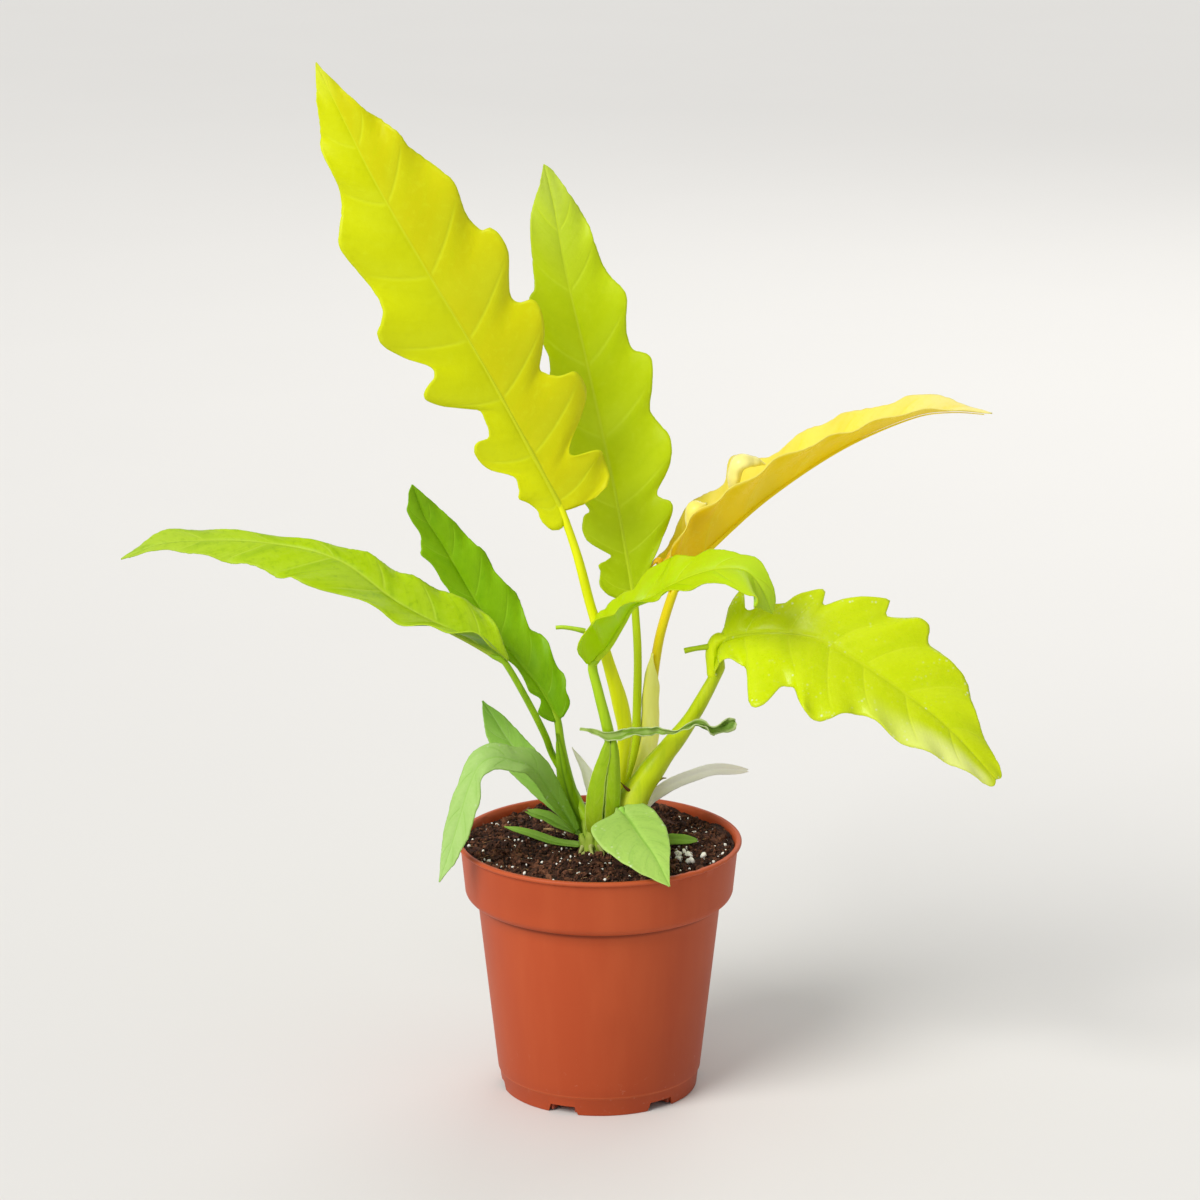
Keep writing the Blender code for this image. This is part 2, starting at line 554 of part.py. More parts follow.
def make_pot():
    inner_lip = BEAD_RADIUS - LIP_WALL
    profile = (
        (0.0, 0.0), (FLOOR_DISC_RADIUS, 0.0),
        (CHANNEL_INNER_RADIUS, CHANNEL_HEIGHT),
        (FOOT_RADIUS - WALL, CHANNEL_HEIGHT), (FOOT_RADIUS - WALL, 0.0),
        (FOOT_RADIUS - FOOT_EDGE, 0.0), (FOOT_RADIUS, FOOT_EDGE),
        (LINE_RADIUS - FOOT_EDGE, LINE_HEIGHT - FOOT_EDGE), (LINE_RADIUS, LINE_HEIGHT),
        (STEP_RADIUS, STEP_HEIGHT), (STEP_RADIUS + WALL, STEP_HEIGHT + WALL / 2),
        (BAND_FOOT_RADIUS - BAND_EDGE, BAND_FOOT_HEIGHT - BAND_EDGE_HEIGHT),
        (BAND_FOOT_RADIUS, BAND_FOOT_HEIGHT),
        (BAND_TOP_RADIUS, POT_HEIGHT - BEAD_DROP - BEAD_EDGE / 2),
        (BEAD_RADIUS - BEAD_EDGE / 2, POT_HEIGHT - BEAD_DROP),
        (BEAD_RADIUS, POT_HEIGHT - BEAD_DROP / 2),
        (BEAD_RADIUS - BEAD_EDGE, POT_HEIGHT - BEAD_EDGE / 4),
        (BEAD_RADIUS - 2 * BEAD_EDGE, POT_HEIGHT),
        (inner_lip, POT_HEIGHT - BEAD_EDGE),
        (BAND_TOP_RADIUS - WALL, POT_HEIGHT - BEAD_DROP - BAND_EDGE),
        (BAND_FOOT_RADIUS - WALL, BAND_FOOT_HEIGHT),
        (STEP_RADIUS - WALL / 3, STEP_HEIGHT + WALL),
        (STEP_RADIUS - WALL, STEP_HEIGHT - WALL / 6),
        (LINE_RADIUS - WALL, LINE_HEIGHT),
        (FOOT_RADIUS - WALL, CHANNEL_HEIGHT + WALL),
        (CHANNEL_INNER_RADIUS - WALL / 4, CHANNEL_HEIGHT + WALL),
        (FLOOR_DISC_RADIUS - WALL / 2, WALL), (0.0, WALL),
    )
    pot = turned("nursery_pot", profile, POT_TURNS, TERRACOTTA, 0.5)
    bm = bmesh.new()
    for number in range(NOTCH_COUNT):
        angle = NOTCH_FIRST + number * 2 * pi / NOTCH_COUNT
        wedge(bm, angle, FOOT_RADIUS, NOTCH_DEPTH, NOTCH_HEIGHT,
              NOTCH_WIDTH, NOTCH_WIDTH * NOTCH_TAPER)
        wedge(bm, angle, SLOT_RADIUS, SLOT_DEPTH, CHANNEL_HEIGHT + 2 * WALL,
              SLOT_LENGTH, SLOT_LENGTH)
    cut(pot, add_mesh("notch_cutter", bm, CUTTER_GREY, 0.5))


def mix_height(x, y):
    """Height of the potting mix's uneven top."""
    from_crown = hypot(x - CROWN_CENTRE.x, y - CROWN_CENTRE.y)
    broad, fine = LUMP_HEIGHTS
    lumps = broad * sin(x * 260 + 1.3) * cos(y * 310 - 0.4) + fine * sin(x * 620 - y * 540)
    hollow = HOLLOW_DEPTH * exp(-(from_crown / HOLLOW_REACH) ** 2)
    return MIX_HEIGHT - MIX_TILT * y + lumps - hollow


def make_mix():
    inside = (
        (0.0, WALL + MIX_GAP), (FLOOR_DISC_RADIUS - WALL, WALL + MIX_GAP),
        (CHANNEL_INNER_RADIUS - WALL / 3, CHANNEL_HEIGHT + WALL + MIX_GAP),
        (FOOT_RADIUS - WALL - MIX_GAP, CHANNEL_HEIGHT + WALL + MIX_GAP),
        (LINE_RADIUS - WALL - MIX_GAP, LINE_HEIGHT),
        (STEP_RADIUS - WALL - MIX_GAP, STEP_HEIGHT),
        (BAND_FOOT_RADIUS - WALL - 2 * MIX_GAP, BAND_FOOT_HEIGHT + WALL),
        (MIX_RINGS[0] + MIX_GAP, MIX_HEIGHT - MIX_SHOULDER),
    )
    top = [(radius, MIX_HEIGHT) for radius in MIX_RINGS] + [(0.0, MIX_HEIGHT)]
    mix = turned("potting_mix", [*inside, *top], MIX_TURNS, DARK_MIX, 0.95)
    for vert in mix.data.vertices:
        if vert.co.z > MIX_HEIGHT - MIX_SHOULDER / 2:
            vert.co.z = mix_height(vert.co.x, vert.co.y)
    bm = bmesh.new()
    hole = CROWN_RADIUS + SEAT_GAP
    made = bmesh.ops.create_cone(bm, cap_ends=True, segments=CROWN_TURNS, radius1=hole,
                                 radius2=hole, depth=RECESS_DEPTH)["verts"]
    middle = CROWN_FOOT - SEAT_GAP + RECESS_DEPTH / 2
    bmesh.ops.translate(bm, verts=made, vec=(CROWN_CENTRE.x, CROWN_CENTRE.y, middle))
    cut(mix, add_mesh("crown_cutter", bm, CUTTER_GREY, 0.5))


def make_crown():
    foot = CROWN_FOOT - CROWN_CENTRE.z
    dome = [(CROWN_RADIUS * cos(radians(a)), CROWN_RADIUS * sin(radians(a)))
            for a in range(0, 90, 15)]
    profile = [(0.0, foot), (CROWN_RADIUS * 0.86, foot),
               (CROWN_RADIUS * 0.99, foot * 0.5), *dome, (0.0, CROWN_RADIUS)]
    crown = turned("crown", profile, CROWN_TURNS, CROWN_GREEN, 0.5)
    crown.location = CROWN_CENTRE


def make_scale(name, points):
    path = smooth_path([Vector(point) * MM for point in points], SCALE_STEP)
    make_tube(name, path, *SCALE_RADII, DRY_BROWN)


clear_scene()
make_pot()
make_mix()
make_crown()
for stalk_name, stalk_spec in STALKS.items():
    make_stalk(stalk_name, stalk_spec)
make_amber_sheath()
for leaf_name, leaf_spec in BLADES.items():
    make_blade(leaf_name, leaf_spec)
for scale_name, scale_points in SCALES.items():
    make_scale(scale_name, scale_points)
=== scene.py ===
# Potted philodendron: lobed gold, lime and green leaves over a moulded nursery pot.
# Works in metres; plant and pot sizes are written in millimetres and multiplied by mm.
from math import atan2, ceil, cos, exp, hypot, pi, radians, sin
from random import Random

import bmesh
import bpy
from mathutils import Euler, Matrix, Vector, noise


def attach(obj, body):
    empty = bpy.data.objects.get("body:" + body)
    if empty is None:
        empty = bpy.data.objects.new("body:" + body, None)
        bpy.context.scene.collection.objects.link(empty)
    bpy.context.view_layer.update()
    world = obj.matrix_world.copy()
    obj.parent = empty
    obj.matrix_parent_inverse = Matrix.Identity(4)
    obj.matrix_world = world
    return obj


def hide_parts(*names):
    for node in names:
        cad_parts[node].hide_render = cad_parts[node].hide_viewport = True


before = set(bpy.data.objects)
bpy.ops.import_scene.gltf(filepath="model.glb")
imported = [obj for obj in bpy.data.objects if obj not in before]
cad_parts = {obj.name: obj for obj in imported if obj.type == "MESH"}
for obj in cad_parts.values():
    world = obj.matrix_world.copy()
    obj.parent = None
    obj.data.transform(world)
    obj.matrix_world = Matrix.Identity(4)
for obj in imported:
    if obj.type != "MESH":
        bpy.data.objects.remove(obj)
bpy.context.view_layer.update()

mm = 0.001


# Colour and curve helpers

def rgb(red, green, blue):  # screen colour 0-255 to the shader's linear colour
    def linear(value):
        share = value / 255
        return share / 12.92 if share <= 0.04045 else ((share + 0.055) / 1.055) ** 2.4
    return (linear(red), linear(green), linear(blue), 1.0)


def ease(low, high, value):  # 0 below low, 1 above high, smooth between
    share = min(max((value - low) / (high - low), 0.0), 1.0)
    return share * share * (3 - 2 * share)


def keyed(keys, share):  # value of ((share, value), ...) keys, or one value for the whole length
    if not isinstance(keys, tuple):
        return keys
    if not isinstance(keys[0], tuple):
        return Vector(keys)
    for (start, low), (end, high) in zip(keys, keys[1:]):
        if share <= end:
            part = ease(start, end, share)
            if isinstance(low, tuple):
                return Vector(low).lerp(Vector(high), part)
            return low + (high - low) * part
    return keyed(keys[-1][1], share)


def curveThrough(points, step):  # evenly spaced points on a smooth curve
    ends = [points[0] * 2 - points[1], *points, points[-1] * 2 - points[-2]]
    fine = []
    for before, start, end, after in zip(ends, ends[1:], ends[2:], ends[3:]):
        for part in range(24):
            t = part / 24
            fine.append(0.5 * (2 * start + (end - before) * t
                               + (2 * before - 5 * start + 4 * end - after) * t * t
                               + (3 * start - before - 3 * end + after) * t ** 3))
    fine.append(points[-1])
    lengths = [0.0]
    for start, end in zip(fine, fine[1:]):
        lengths.append(lengths[-1] + (end - start).length)
    count = max(4, round(lengths[-1] / step))
    path, index = [], 0
    for number in range(count + 1):
        wanted = lengths[-1] * number / count
        while index < len(fine) - 2 and lengths[index + 1] < wanted:
            index += 1
        span = lengths[index + 1] - lengths[index]
        path.append(fine[index].lerp(fine[index + 1], (wanted - lengths[index]) / span))
    return path


def headings(path):
    last = len(path) - 1
    return [(path[min(i + 1, last)] - path[max(i - 1, 0)]).normalized() for i in range(last + 1)]


def square(direction, way):  # the direction made square to the way, one long
    return (direction - way * direction.dot(way)).normalized()


def marginTable(pairs):  # reach of a margin at every quarter mm of midrib
    curve = curveThrough([Vector((along, reach, 0)) for along, reach in pairs], 0.2)
    table, index = [], 0
    for number in range(ceil(pairs[-1][0] * 4) + 1):
        along = number / 4
        while index < len(curve) - 2 and curve[index + 1].x < along:
            index += 1
        start, end = curve[index], curve[index + 1]
        span = end.x - start.x
        part = min(max((along - start.x) / span, 0.0), 1.0) if span > 1e-6 else 0.0
        table.append(max(start.y + (end.y - start.y) * part, 0.15))
    return table


def readTable(table, along):
    place = min(max(along * 4, 0.0), len(table) - 1.001)
    index = int(place)
    return table[index] + (table[index + 1] - table[index]) * (place - index)


# Shader helpers

class Wire:  # a socket that takes part in Python sums
    def __init__(self, finish, socket):
        self.finish = finish
        self.socket = socket

    def calc(self, operation, *values):
        return self.finish.node("ShaderNodeMath", {"operation": operation}, dict(enumerate(values)))

    def __add__(self, other):
        return self.calc("ADD", self, other)

    __radd__ = __add__

    def __sub__(self, other):
        return self.calc("SUBTRACT", self, other)

    def __rsub__(self, other):
        return self.calc("SUBTRACT", other, self)

    def __mul__(self, other):
        return self.calc("MULTIPLY", self, other)

    __rmul__ = __mul__

    def __abs__(self):
        return self.calc("ABSOLUTE", self)

    def fraction(self):
        return self.calc("FRACT", self)


class Finish:  # a material while it is put together
    def __init__(self, name, colour, roughness, shine=0.5):
        self.material = bpy.data.materials.new(name)
        self.material.use_nodes = True
        self.material.diffuse_color = colour
        self.tree = self.material.node_tree
        self.shader = self.tree.nodes["Principled BSDF"]
        for socket, value in (("Base Color", colour), ("Roughness", roughness),
                              ("Specular IOR Level", shine)):
            self.shader.inputs[socket].default_value = value
        self.colour = colour

    def node(self, kind, settings=None, values=None, output=0):
        made = self.tree.nodes.new(kind)
        for key, value in (settings or {}).items():
            setattr(made, key, value)
        for key, value in (values or {}).items():
            if isinstance(value, Wire):
                self.tree.links.new(value.socket, made.inputs[key])
            else:
                made.inputs[key].default_value = value
        return Wire(self, made.outputs[output])

    def attribute(self, name):
        return self.node("ShaderNodeAttribute", {"attribute_name": name}, output="Fac")

    def places(self, stretch=(1, 1, 1)):
        plain = self.node("ShaderNodeTexCoord", output="Object")
        return self.node("ShaderNodeMapping", None, {"Vector": plain, "Scale": stretch})

    def noise(self, scale, detail=3.0, rough=0.5, where=None):
        return self.node("ShaderNodeTexNoise", None, {"Vector": where or self.places(), "Scale": scale,
                                                      "Detail": detail, "Roughness": rough})

    def rise(self, value, low, high):  # smooth step from low to high, or a fall if low is above high
        return self.node("ShaderNodeMapRange", {"interpolation_type": "SMOOTHSTEP"},
                         {"Value": value, "From Min": low, "From Max": high})

    def band(self, value, start, full, fade, end):  # 1 between full and fade
        return self.rise(value, start, full) * self.rise(value, end, fade)

    def coat(self, mask, tint):  # lays a tint over the colour so far
        mixed = {0: mask, 6: self.colour, 7: tint}
        self.colour = self.node("ShaderNodeMix", {"data_type": "RGBA"}, mixed, output=2)
        self.paint("Base Color", self.colour)

    def paint(self, socket, wire):
        self.tree.links.new(wire.socket, self.shader.inputs[socket])

    def relief(self, height, distance, strength):
        self.paint("Normal", self.node("ShaderNodeBump", None, {"Height": height, "Distance": distance,
                                                                "Strength": strength}))

    def glow(self, colour, share):  # light that passes through a thin blade
        through = self.node("ShaderNodeBsdfTranslucent", None, {"Color": colour})
        mixed = self.node("ShaderNodeMixShader", None,
                          {0: share, 1: Wire(self, self.shader.outputs[0]), 2: through})
        self.tree.links.new(mixed.socket, self.tree.nodes["Material Output"].inputs["Surface"])


# Mesh helpers

def newObject(name, data):  # an object in the scene, from a bmesh or from camera or lamp data
    if isinstance(data, bmesh.types.BMesh):
        bm, data = data, bpy.data.meshes.new(name)
        bm.to_mesh(data)
        bm.free()
    made = bpy.data.objects.new(name, data)
    bpy.context.scene.collection.objects.link(made)
    return made


def addPiece(name, bm, finishes, sharp=35, outward=True):
    if outward:  # a blade keeps the upper side that it was given
        bmesh.ops.recalc_face_normals(bm, faces=bm.faces)
    piece = newObject(name, bm)
    piece.data.shade_smooth()
    piece.data.set_sharp_from_angle(angle=radians(sharp))
    for finish in finishes:
        piece.data.materials.append(finish.material)
    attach(piece, "root")
    return piece


def thicken(piece, thick):  # a wall either side of a sheet, its second face in the last finish
    wall = piece.modifiers.new("thickness", "SOLIDIFY")
    wall.thickness = thick * mm
    wall.offset = 0.0
    wall.material_offset = len(piece.data.materials) - 1


def joinMesh(bm, part):  # adds a small bmesh to a larger one
    mesh = bpy.data.meshes.new("part")
    part.to_mesh(mesh)
    part.free()
    bm.from_mesh(mesh)
    bpy.data.meshes.remove(mesh)


def turnProfile(profile, turns):  # closed solid turned round Z from mm points
    bm = bmesh.new()
    verts = [bm.verts.new((radius * mm, 0, height * mm)) for radius, height in profile]
    for start, end in zip(verts, verts[1:]):
        bm.edges.new((start, end))
    bmesh.ops.spin(bm, geom=bm.verts[:] + bm.edges[:], cent=(0, 0, 0), axis=(0, 0, 1),
                   angle=2 * pi, steps=turns, use_merge=True)
    bmesh.ops.remove_doubles(bm, verts=bm.verts, dist=0.00001)
    return bm


def tube(bm, path, radii, sides=16, groove=0.0, flat=0.0, wander=0.0):
    # A capped rod bent onto the path: radii are (share, mm) keys, groove dents its inner side.
    ways = headings(path)
    rows = len(path) - 1
    rod = newTubeMesh()
    bmesh.ops.create_cone(rod, cap_ends=True, segments=sides, radius1=1, radius2=1, depth=2)
    rails = [edge for edge in rod.edges if abs(edge.verts[0].co.z - edge.verts[1].co.z) > 1]
    bmesh.ops.subdivide_edges(rod, edges=rails, cuts=rows - 1)
    alongLayer = rod.verts.layers.float["along"]
    turnLayer = rod.verts.layers.float["turn"]
    for vert in rod.verts:
        share = (vert.co.z + 1) / 2
        row = round(share * rows)
        turn = atan2(vert.co.y, vert.co.x)
        face = square(Vector((-path[row].x, -path[row].y, 0.03)), ways[row])
        size = keyed(radii, share) * mm
        size *= 1 - groove * max(cos(turn), 0) ** 3
        size *= 1 + wander * noise.noise(path[row] * 90 + Vector((cos(turn), sin(turn), 0)))
        vert[alongLayer] = share
        vert[turnLayer] = cos(turn)
        out = face * cos(turn) * (1 - flat) + ways[row].cross(face) * sin(turn)
        vert.co = path[row] + out * size
    joinMesh(bm, rod)


def newTubeMesh():
    bm = bmesh.new()
    bm.verts.layers.float.new("along")
    bm.verts.layers.float.new("turn")
    return bm


def route(points, step):
    return curveThrough([Vector(point) * mm for point in points], step * mm)


# Camera, light and floor

camera = dict(place=(0.0003, -1.427, 0.564), tilt=75.16, lens=122.0, sensor=36.0)
light = dict(sunTurn=-45, sunHeight=44, sunPower=2.6, sunSoftness=34,
             back=(0.6, 1.5, 1.3), backPower=7, backSize=1.3, target=(0, 0, 0.2),
             sky=rgb(236, 238, 242), skyStrength=0.60)
floor = dict(size=9.0, colour=rgb(226, 223, 217), shade=rgb(217, 214, 208))


def addLamp(name, kind, power, place):
    data = bpy.data.lights.new(name, kind)
    data.energy = power
    lamp = newObject(name, data)
    lamp.location = place
    aim = Vector(place) - Vector(light["target"])
    lamp.rotation_euler = aim.to_track_quat("Z", "Y").to_euler()
    return data


def setStage():
    data = bpy.data.cameras.new("camera")
    data.lens = camera["lens"]
    data.sensor_width = camera["sensor"]
    view = newObject("camera", data)
    view.location = camera["place"]
    view.rotation_euler = (radians(camera["tilt"]), 0, 0)
    bpy.context.scene.camera = view
    turn, height = radians(light["sunTurn"]), radians(light["sunHeight"])
    sunPlace = (2 * sin(turn) * cos(height), -2 * cos(turn) * cos(height), 2 * sin(height))
    addLamp("window", "SUN", light["sunPower"], sunPlace).angle = radians(light["sunSoftness"])
    addLamp("back", "AREA", light["backPower"], light["back"]).size = light["backSize"]
    world = bpy.data.worlds.new("studio")
    world.use_nodes = True
    world.node_tree.nodes["Background"].inputs["Color"].default_value = light["sky"]
    world.node_tree.nodes["Background"].inputs["Strength"].default_value = light["skyStrength"]
    bpy.context.scene.world = world
    bpy.context.scene.view_settings.view_transform = "Standard"
    bm = bmesh.new()
    bmesh.ops.create_grid(bm, x_segments=2, y_segments=2, size=floor["size"])
    ground = newObject("floor", bm)
    paper = Finish("studioPaper", floor["colour"], 0.7)
    paper.coat(paper.noise(6, 2) * 0.2, floor["shade"])
    ground.data.materials.append(paper.material)


setStage()
print("stage, lights and camera set")


# Pot: one thin moulded shell with a bead, a rim band and a notched foot ring

pot = dict(
    turns=176, colour=rgb(176, 74, 37), light=rgb(194, 94, 52), dark=rgb(148, 58, 28),
    bandShadowTint=rgb(96, 34, 16), dust=rgb(222, 176, 150), soiling=rgb(70, 40, 28), roughness=0.42,
    shine=0.18, sharp=32, notches=6, firstNotch=-111.5, ribs=24, ribEdge=0.18,
    notch=dict(radius=36.4, depth=6.0, low=-2, high=3.3, footWidth=13.0, topWidth=9.6),
    slot=dict(radius=32.5, depth=3.0, low=1.0, high=6.5, footWidth=9.0, topWidth=9.0),
    rib=dict(radius=32.3, depth=6.2, low=0.7, high=3.8, footWidth=0.9, topWidth=1.1),
    flashHeight=93.4, flashRadius=50.5, flashTurns=(-70, -60, -25, -12), flashLow=0.03, flashRise=0.30,
    flashLimit=0.2, flashSpread=0.6, bead=(93.4, 94.4), bandShadow=(71.2, 72.6, 73.2, 74.2),
    footLedgeHighlight=(6.4, 6.9, 7.4, 8.0), shaded=(75, 0), dusty=(30, 0), soiled=(86.5, 92.5),
)


def arcPoints(x, z, radius, first, last, count):
    return [(x + radius * cos(radians(first + (last - first) * i / count)),
             z + radius * sin(radians(first + (last - first) * i / count)))
            for i in range(count + 1)]


def linePoints(x, z, endX, endZ, count):
    return [(x + (endX - x) * i / count, z + (endZ - z) * i / count) for i in range(count + 1)]


def potProfile():
    wall = [(0.0, 0.5), (2.2, 0.5), (2.6, 0.0), (14.0, 0.0), (26.6, 0.0)]
    wall += arcPoints(26.6, 0.5, 0.5, -90, -40, 3)
    wall += [(29.2, 3.3), (29.9, 3.6), (34.8, 3.6), (35.2, 3.2), (35.2, 0.3)]
    wall += arcPoints(35.9, 0.5, 0.5, -150, -10, 6)
    wall += [(37.18, 6.9), (37.30, 7.05), (37.66, 7.3)]
    wall += linePoints(37.74, 7.5, 44.9, 72.3, 14)
    wall += [(45.1, 72.75), (45.7, 73.0), (46.3, 73.25)]
    wall += arcPoints(45.9, 77.1, 3.7, -72, -12, 7)
    wall += linePoints(49.62, 77.6, 51.2, 93.3, 5)
    wall += [(51.45, 93.52), (51.9, 93.6)]
    wall += arcPoints(51.75, 94.5, 0.82, -60, 110, 9)
    wall += [(50.95, 95.25), (50.55, 94.9), (50.15, 93.6), (49.9, 92.2)]
    wall += [(48.35, 78.2), (47.6, 76.2), (46.3, 74.6), (44.6, 73.8), (43.8, 73.0), (43.6, 71.8)]
    wall += [(36.5, 7.4), (35.4, 5.4), (34.6, 4.8), (29.3, 4.8), (26.4, 1.3), (25.8, 1.2), (0.0, 1.2)]
    return wall


def addBlock(bm, turn, radius, depth, low, high, footWidth, topWidth):
    made = bmesh.ops.create_cube(bm, size=1.0)["verts"]
    for vert in made:
        vert.co.x = radius + vert.co.x * depth
        vert.co.y *= topWidth if vert.co.z > 0 else footWidth
        vert.co.z = high if vert.co.z > 0 else low
    bmesh.ops.scale(bm, verts=made, vec=(mm, mm, mm))
    bmesh.ops.rotate(bm, verts=made, cent=(0, 0, 0), matrix=Matrix.Rotation(turn, 3, "Z"))
    return made


def cutAway(piece, bm):  # boolean cut, applied so no cutter is left
    bmesh.ops.recalc_face_normals(bm, faces=bm.faces)
    cutter = newObject("cutter", bm)
    boolean = piece.modifiers.new("notches", "BOOLEAN")
    boolean.object = cutter
    boolean.solver = "EXACT"
    bpy.context.view_layer.update()
    depsgraph = bpy.context.evaluated_depsgraph_get()
    cut = bpy.data.meshes.new_from_object(piece.evaluated_get(depsgraph))
    piece.modifiers.remove(boolean)
    spent = (piece.data, cutter.data)
    piece.data = cut
    bpy.data.objects.remove(cutter)
    for mesh in spent:
        bpy.data.meshes.remove(mesh)


def potFinish():
    f = Finish("mouldedPlastic", pot["colour"], pot["roughness"], pot["shine"])
    streaks = f.noise(60, 3, 0.6, f.places((1, 1, 0.12)))
    cloud = f.noise(22, 2)
    grain = f.noise(2600, 2, 0.6)
    height = f.node("ShaderNodeSeparateXYZ", None, {0: f.places()}, "Z") * (1 / mm)
    f.coat(f.rise(streaks, 0.35, 0.75) * 0.35, pot["light"])
    f.coat(f.rise(cloud, 0.45, 0.8) * 0.28, pot["dark"])
    # painted shade: the pot darker towards the bottom
    f.coat(f.rise(height, *pot["shaded"]) * 0.35, pot["dark"])
    # painted highlight: the bead at the top of the rim lighter
    f.coat(f.rise(height, *pot["bead"]) * 0.4, pot["light"])
    # painted shadow: a dark line under the rim band, where the band overhangs the wall
    f.coat(f.band(height, *pot["bandShadow"]) * 0.6, pot["bandShadowTint"])
    # painted highlight: a light line along the small ledge above the foot ring
    f.coat(f.band(height, *pot["footLedgeHighlight"]) * 0.55, pot["light"])
    dusty = f.rise(f.noise(420, 4, 0.7), 0.62, 0.78) * f.rise(height, *pot["dusty"])
    f.coat(dusty * 0.35, pot["dust"])
    soiled = f.rise(f.noise(350, 4, 0.75), 0.60, 0.72) * f.rise(height, *pot["soiled"])
    f.coat(soiled * 0.16, pot["soiling"])
    f.paint("Roughness", 0.36 + 0.16 * streaks + 0.05 * grain)
    f.relief(grain * 0.5 + f.noise(240, 2, 0.5, f.places((1, 1, 0.3))) * 0.8, 0.00008, 0.6)
    return f


def makePot():
    bm = turnProfile(potProfile(), pot["turns"])
    first, full, fade, last = pot["flashTurns"]
    for vert in bm.verts:  # ragged moulding flash on the bead
        turn = atan2(vert.co.y, vert.co.x) * 180 / pi
        if vert.co.z > pot["flashHeight"] * mm and hypot(vert.co.x, vert.co.y) > pot["flashRadius"] * mm:
            rough = noise.noise(vert.co * 420)
            here = ease(first, full, turn) * (1 - ease(fade, last, turn))
            amount = pot["flashLow"] + pot["flashRise"] * here
            vert.co.z += min(amount * rough, pot["flashLimit"]) * mm
            outward = Vector((vert.co.x, vert.co.y, 0)).normalized()
            vert.co += outward * amount * noise.noise(vert.co * 610) * pot["flashSpread"] * mm
    shell = addPiece("pot_shell", bm, [potFinish()], pot["sharp"])
    bm = bmesh.new()
    for number in range(pot["notches"]):
        turn = radians(pot["firstNotch"] + 60 * number)
        addBlock(bm, turn, **pot["notch"])
        addBlock(bm, turn, **pot["slot"])
    cutAway(shell, bm)
    shell.data.set_sharp_from_angle(angle=radians(pot["sharp"]))
    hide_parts("nursery_pot")
    bm = bmesh.new()
    for number in range(pot["ribs"]):  # stiffening ribs in the channel, with a gap at every notch
        turn = radians(pot["firstNotch"] + 30 + 360 / pot["ribs"] * (number + 0.5))
        nearest = abs((number + 0.5) % 4 - 2)
        if nearest > 1:
            continue
        made = addBlock(bm, turn, **pot["rib"])
        edges = {edge for vert in made for edge in vert.link_edges}
        bmesh.ops.bevel(bm, geom=list(edges), offset=pot["ribEdge"] * mm, segments=2, affect="EDGES",
                        profile=0.5, material=-1)
    # painted shade: the ribs in the recessed foot channel take the pot's dark tone
    addPiece("pot_ribs", bm, [Finish("shadedRibPlastic", pot["dark"], 0.45)])


makePot()
print("pot made")


# Potting mix: an uneven bed, then crumbs, bark, perlite and fibres on it

bed = dict(height=93.1, tilt=0.012, radius=49.7, rings=78, turns=210, surface=90.0,
           mounds=((1.7, 17, 44, 15, 12), (-1.0, 33, 33, 11, 12), (-1.3, -36, 26, 10, 14),
                   (-0.8, 0, -5, 17, 17)),  # rise, middle and how far it reaches across and back
           colour=rgb(72, 43, 29), warm=rgb(114, 74, 52), damp=rgb(34, 20, 14))
crumbs = dict(large=620, small=3400, seed=11, low=0.8, high=2.1, largeReach=48.0, smallReach=48.9,
              tints=dict(dark=((50, 29, 19), (98, 62, 42)), umber=((70, 41, 27), (122, 78, 54)),
                         brown=((80, 47, 31), (134, 88, 61)), peat=((38, 22, 15), (78, 48, 33))))
perlite = dict(count=250, pocket=16, seed=5, low=0.22, high=0.75, reach=48.5)
bark = dict(count=120, seed=9, reach=46.5)
fibres = dict(count=46, seed=3, reach=43)


def bedHeight(x, y):  # in mm
    place = Vector((x, y, 0))
    height = bed["height"] - bed["tilt"] * y
    height += 0.9 * noise.noise(place * 0.055) + 0.75 * noise.noise(place * 0.16)
    for rise, middleX, middleY, wide, deep in bed["mounds"]:
        height += rise * exp(-((x - middleX) / wide) ** 2 - ((y - middleY) / deep) ** 2)
    return height


def fineBed(x, y):
    place = Vector((x, y, 3))
    rough = 0.85 * noise.noise(place * 0.45) + 0.5 * noise.noise(place * 0.95)
    rough += 0.25 * noise.noise(place * 1.9)
    return bedHeight(x, y) + rough


def bedFinish():
    f = Finish("pottingMix", bed["colour"], 0.95, 0.2)
    clod = f.noise(330, 6, 0.7)
    speck = f.noise(1250, 3, 0.6)
    f.colour = bed["damp"]
    f.coat(f.rise(clod, 0.42, 0.66), bed["colour"])
    f.coat(f.rise(speck, 0.54, 0.74) * 0.7, bed["warm"])
    f.paint("Roughness", 0.75 + 0.25 * clod)
    f.relief(clod + speck * 0.5, 0.0009, 0.9)
    return f


def makeBed():
    inner = [(0.0, 1.5), (25.8, 1.5), (29.1, 5.1), (34.9, 5.1), (36.2, 7.4), (43.4, 72.6),
             (44.5, 74.2), (47.6, 77.4), (48.3, 79.7), (bed["radius"] - 0.3, 87.5)]
    rings = [(bed["radius"] * (1 - i / bed["rings"]), bed["height"]) for i in range(bed["rings"] + 1)]
    bm = turnProfile(inner + rings, bed["turns"])
    for vert in bm.verts:
        if vert.co.z > bed["surface"] * mm:
            vert.co.z = fineBed(vert.co.x / mm, vert.co.y / mm) * mm
    piece = addPiece("soil_bed", bm, [bedFinish()], 60)
    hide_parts("potting_mix")


def spot(random, reach):  # a random place on the bed, clear of the crown
    while True:
        x, y = random.uniform(-reach, reach), random.uniform(-reach, reach)
        if hypot(x, y) < reach and hypot(x, y + 5) > 6.5:
            return x, y


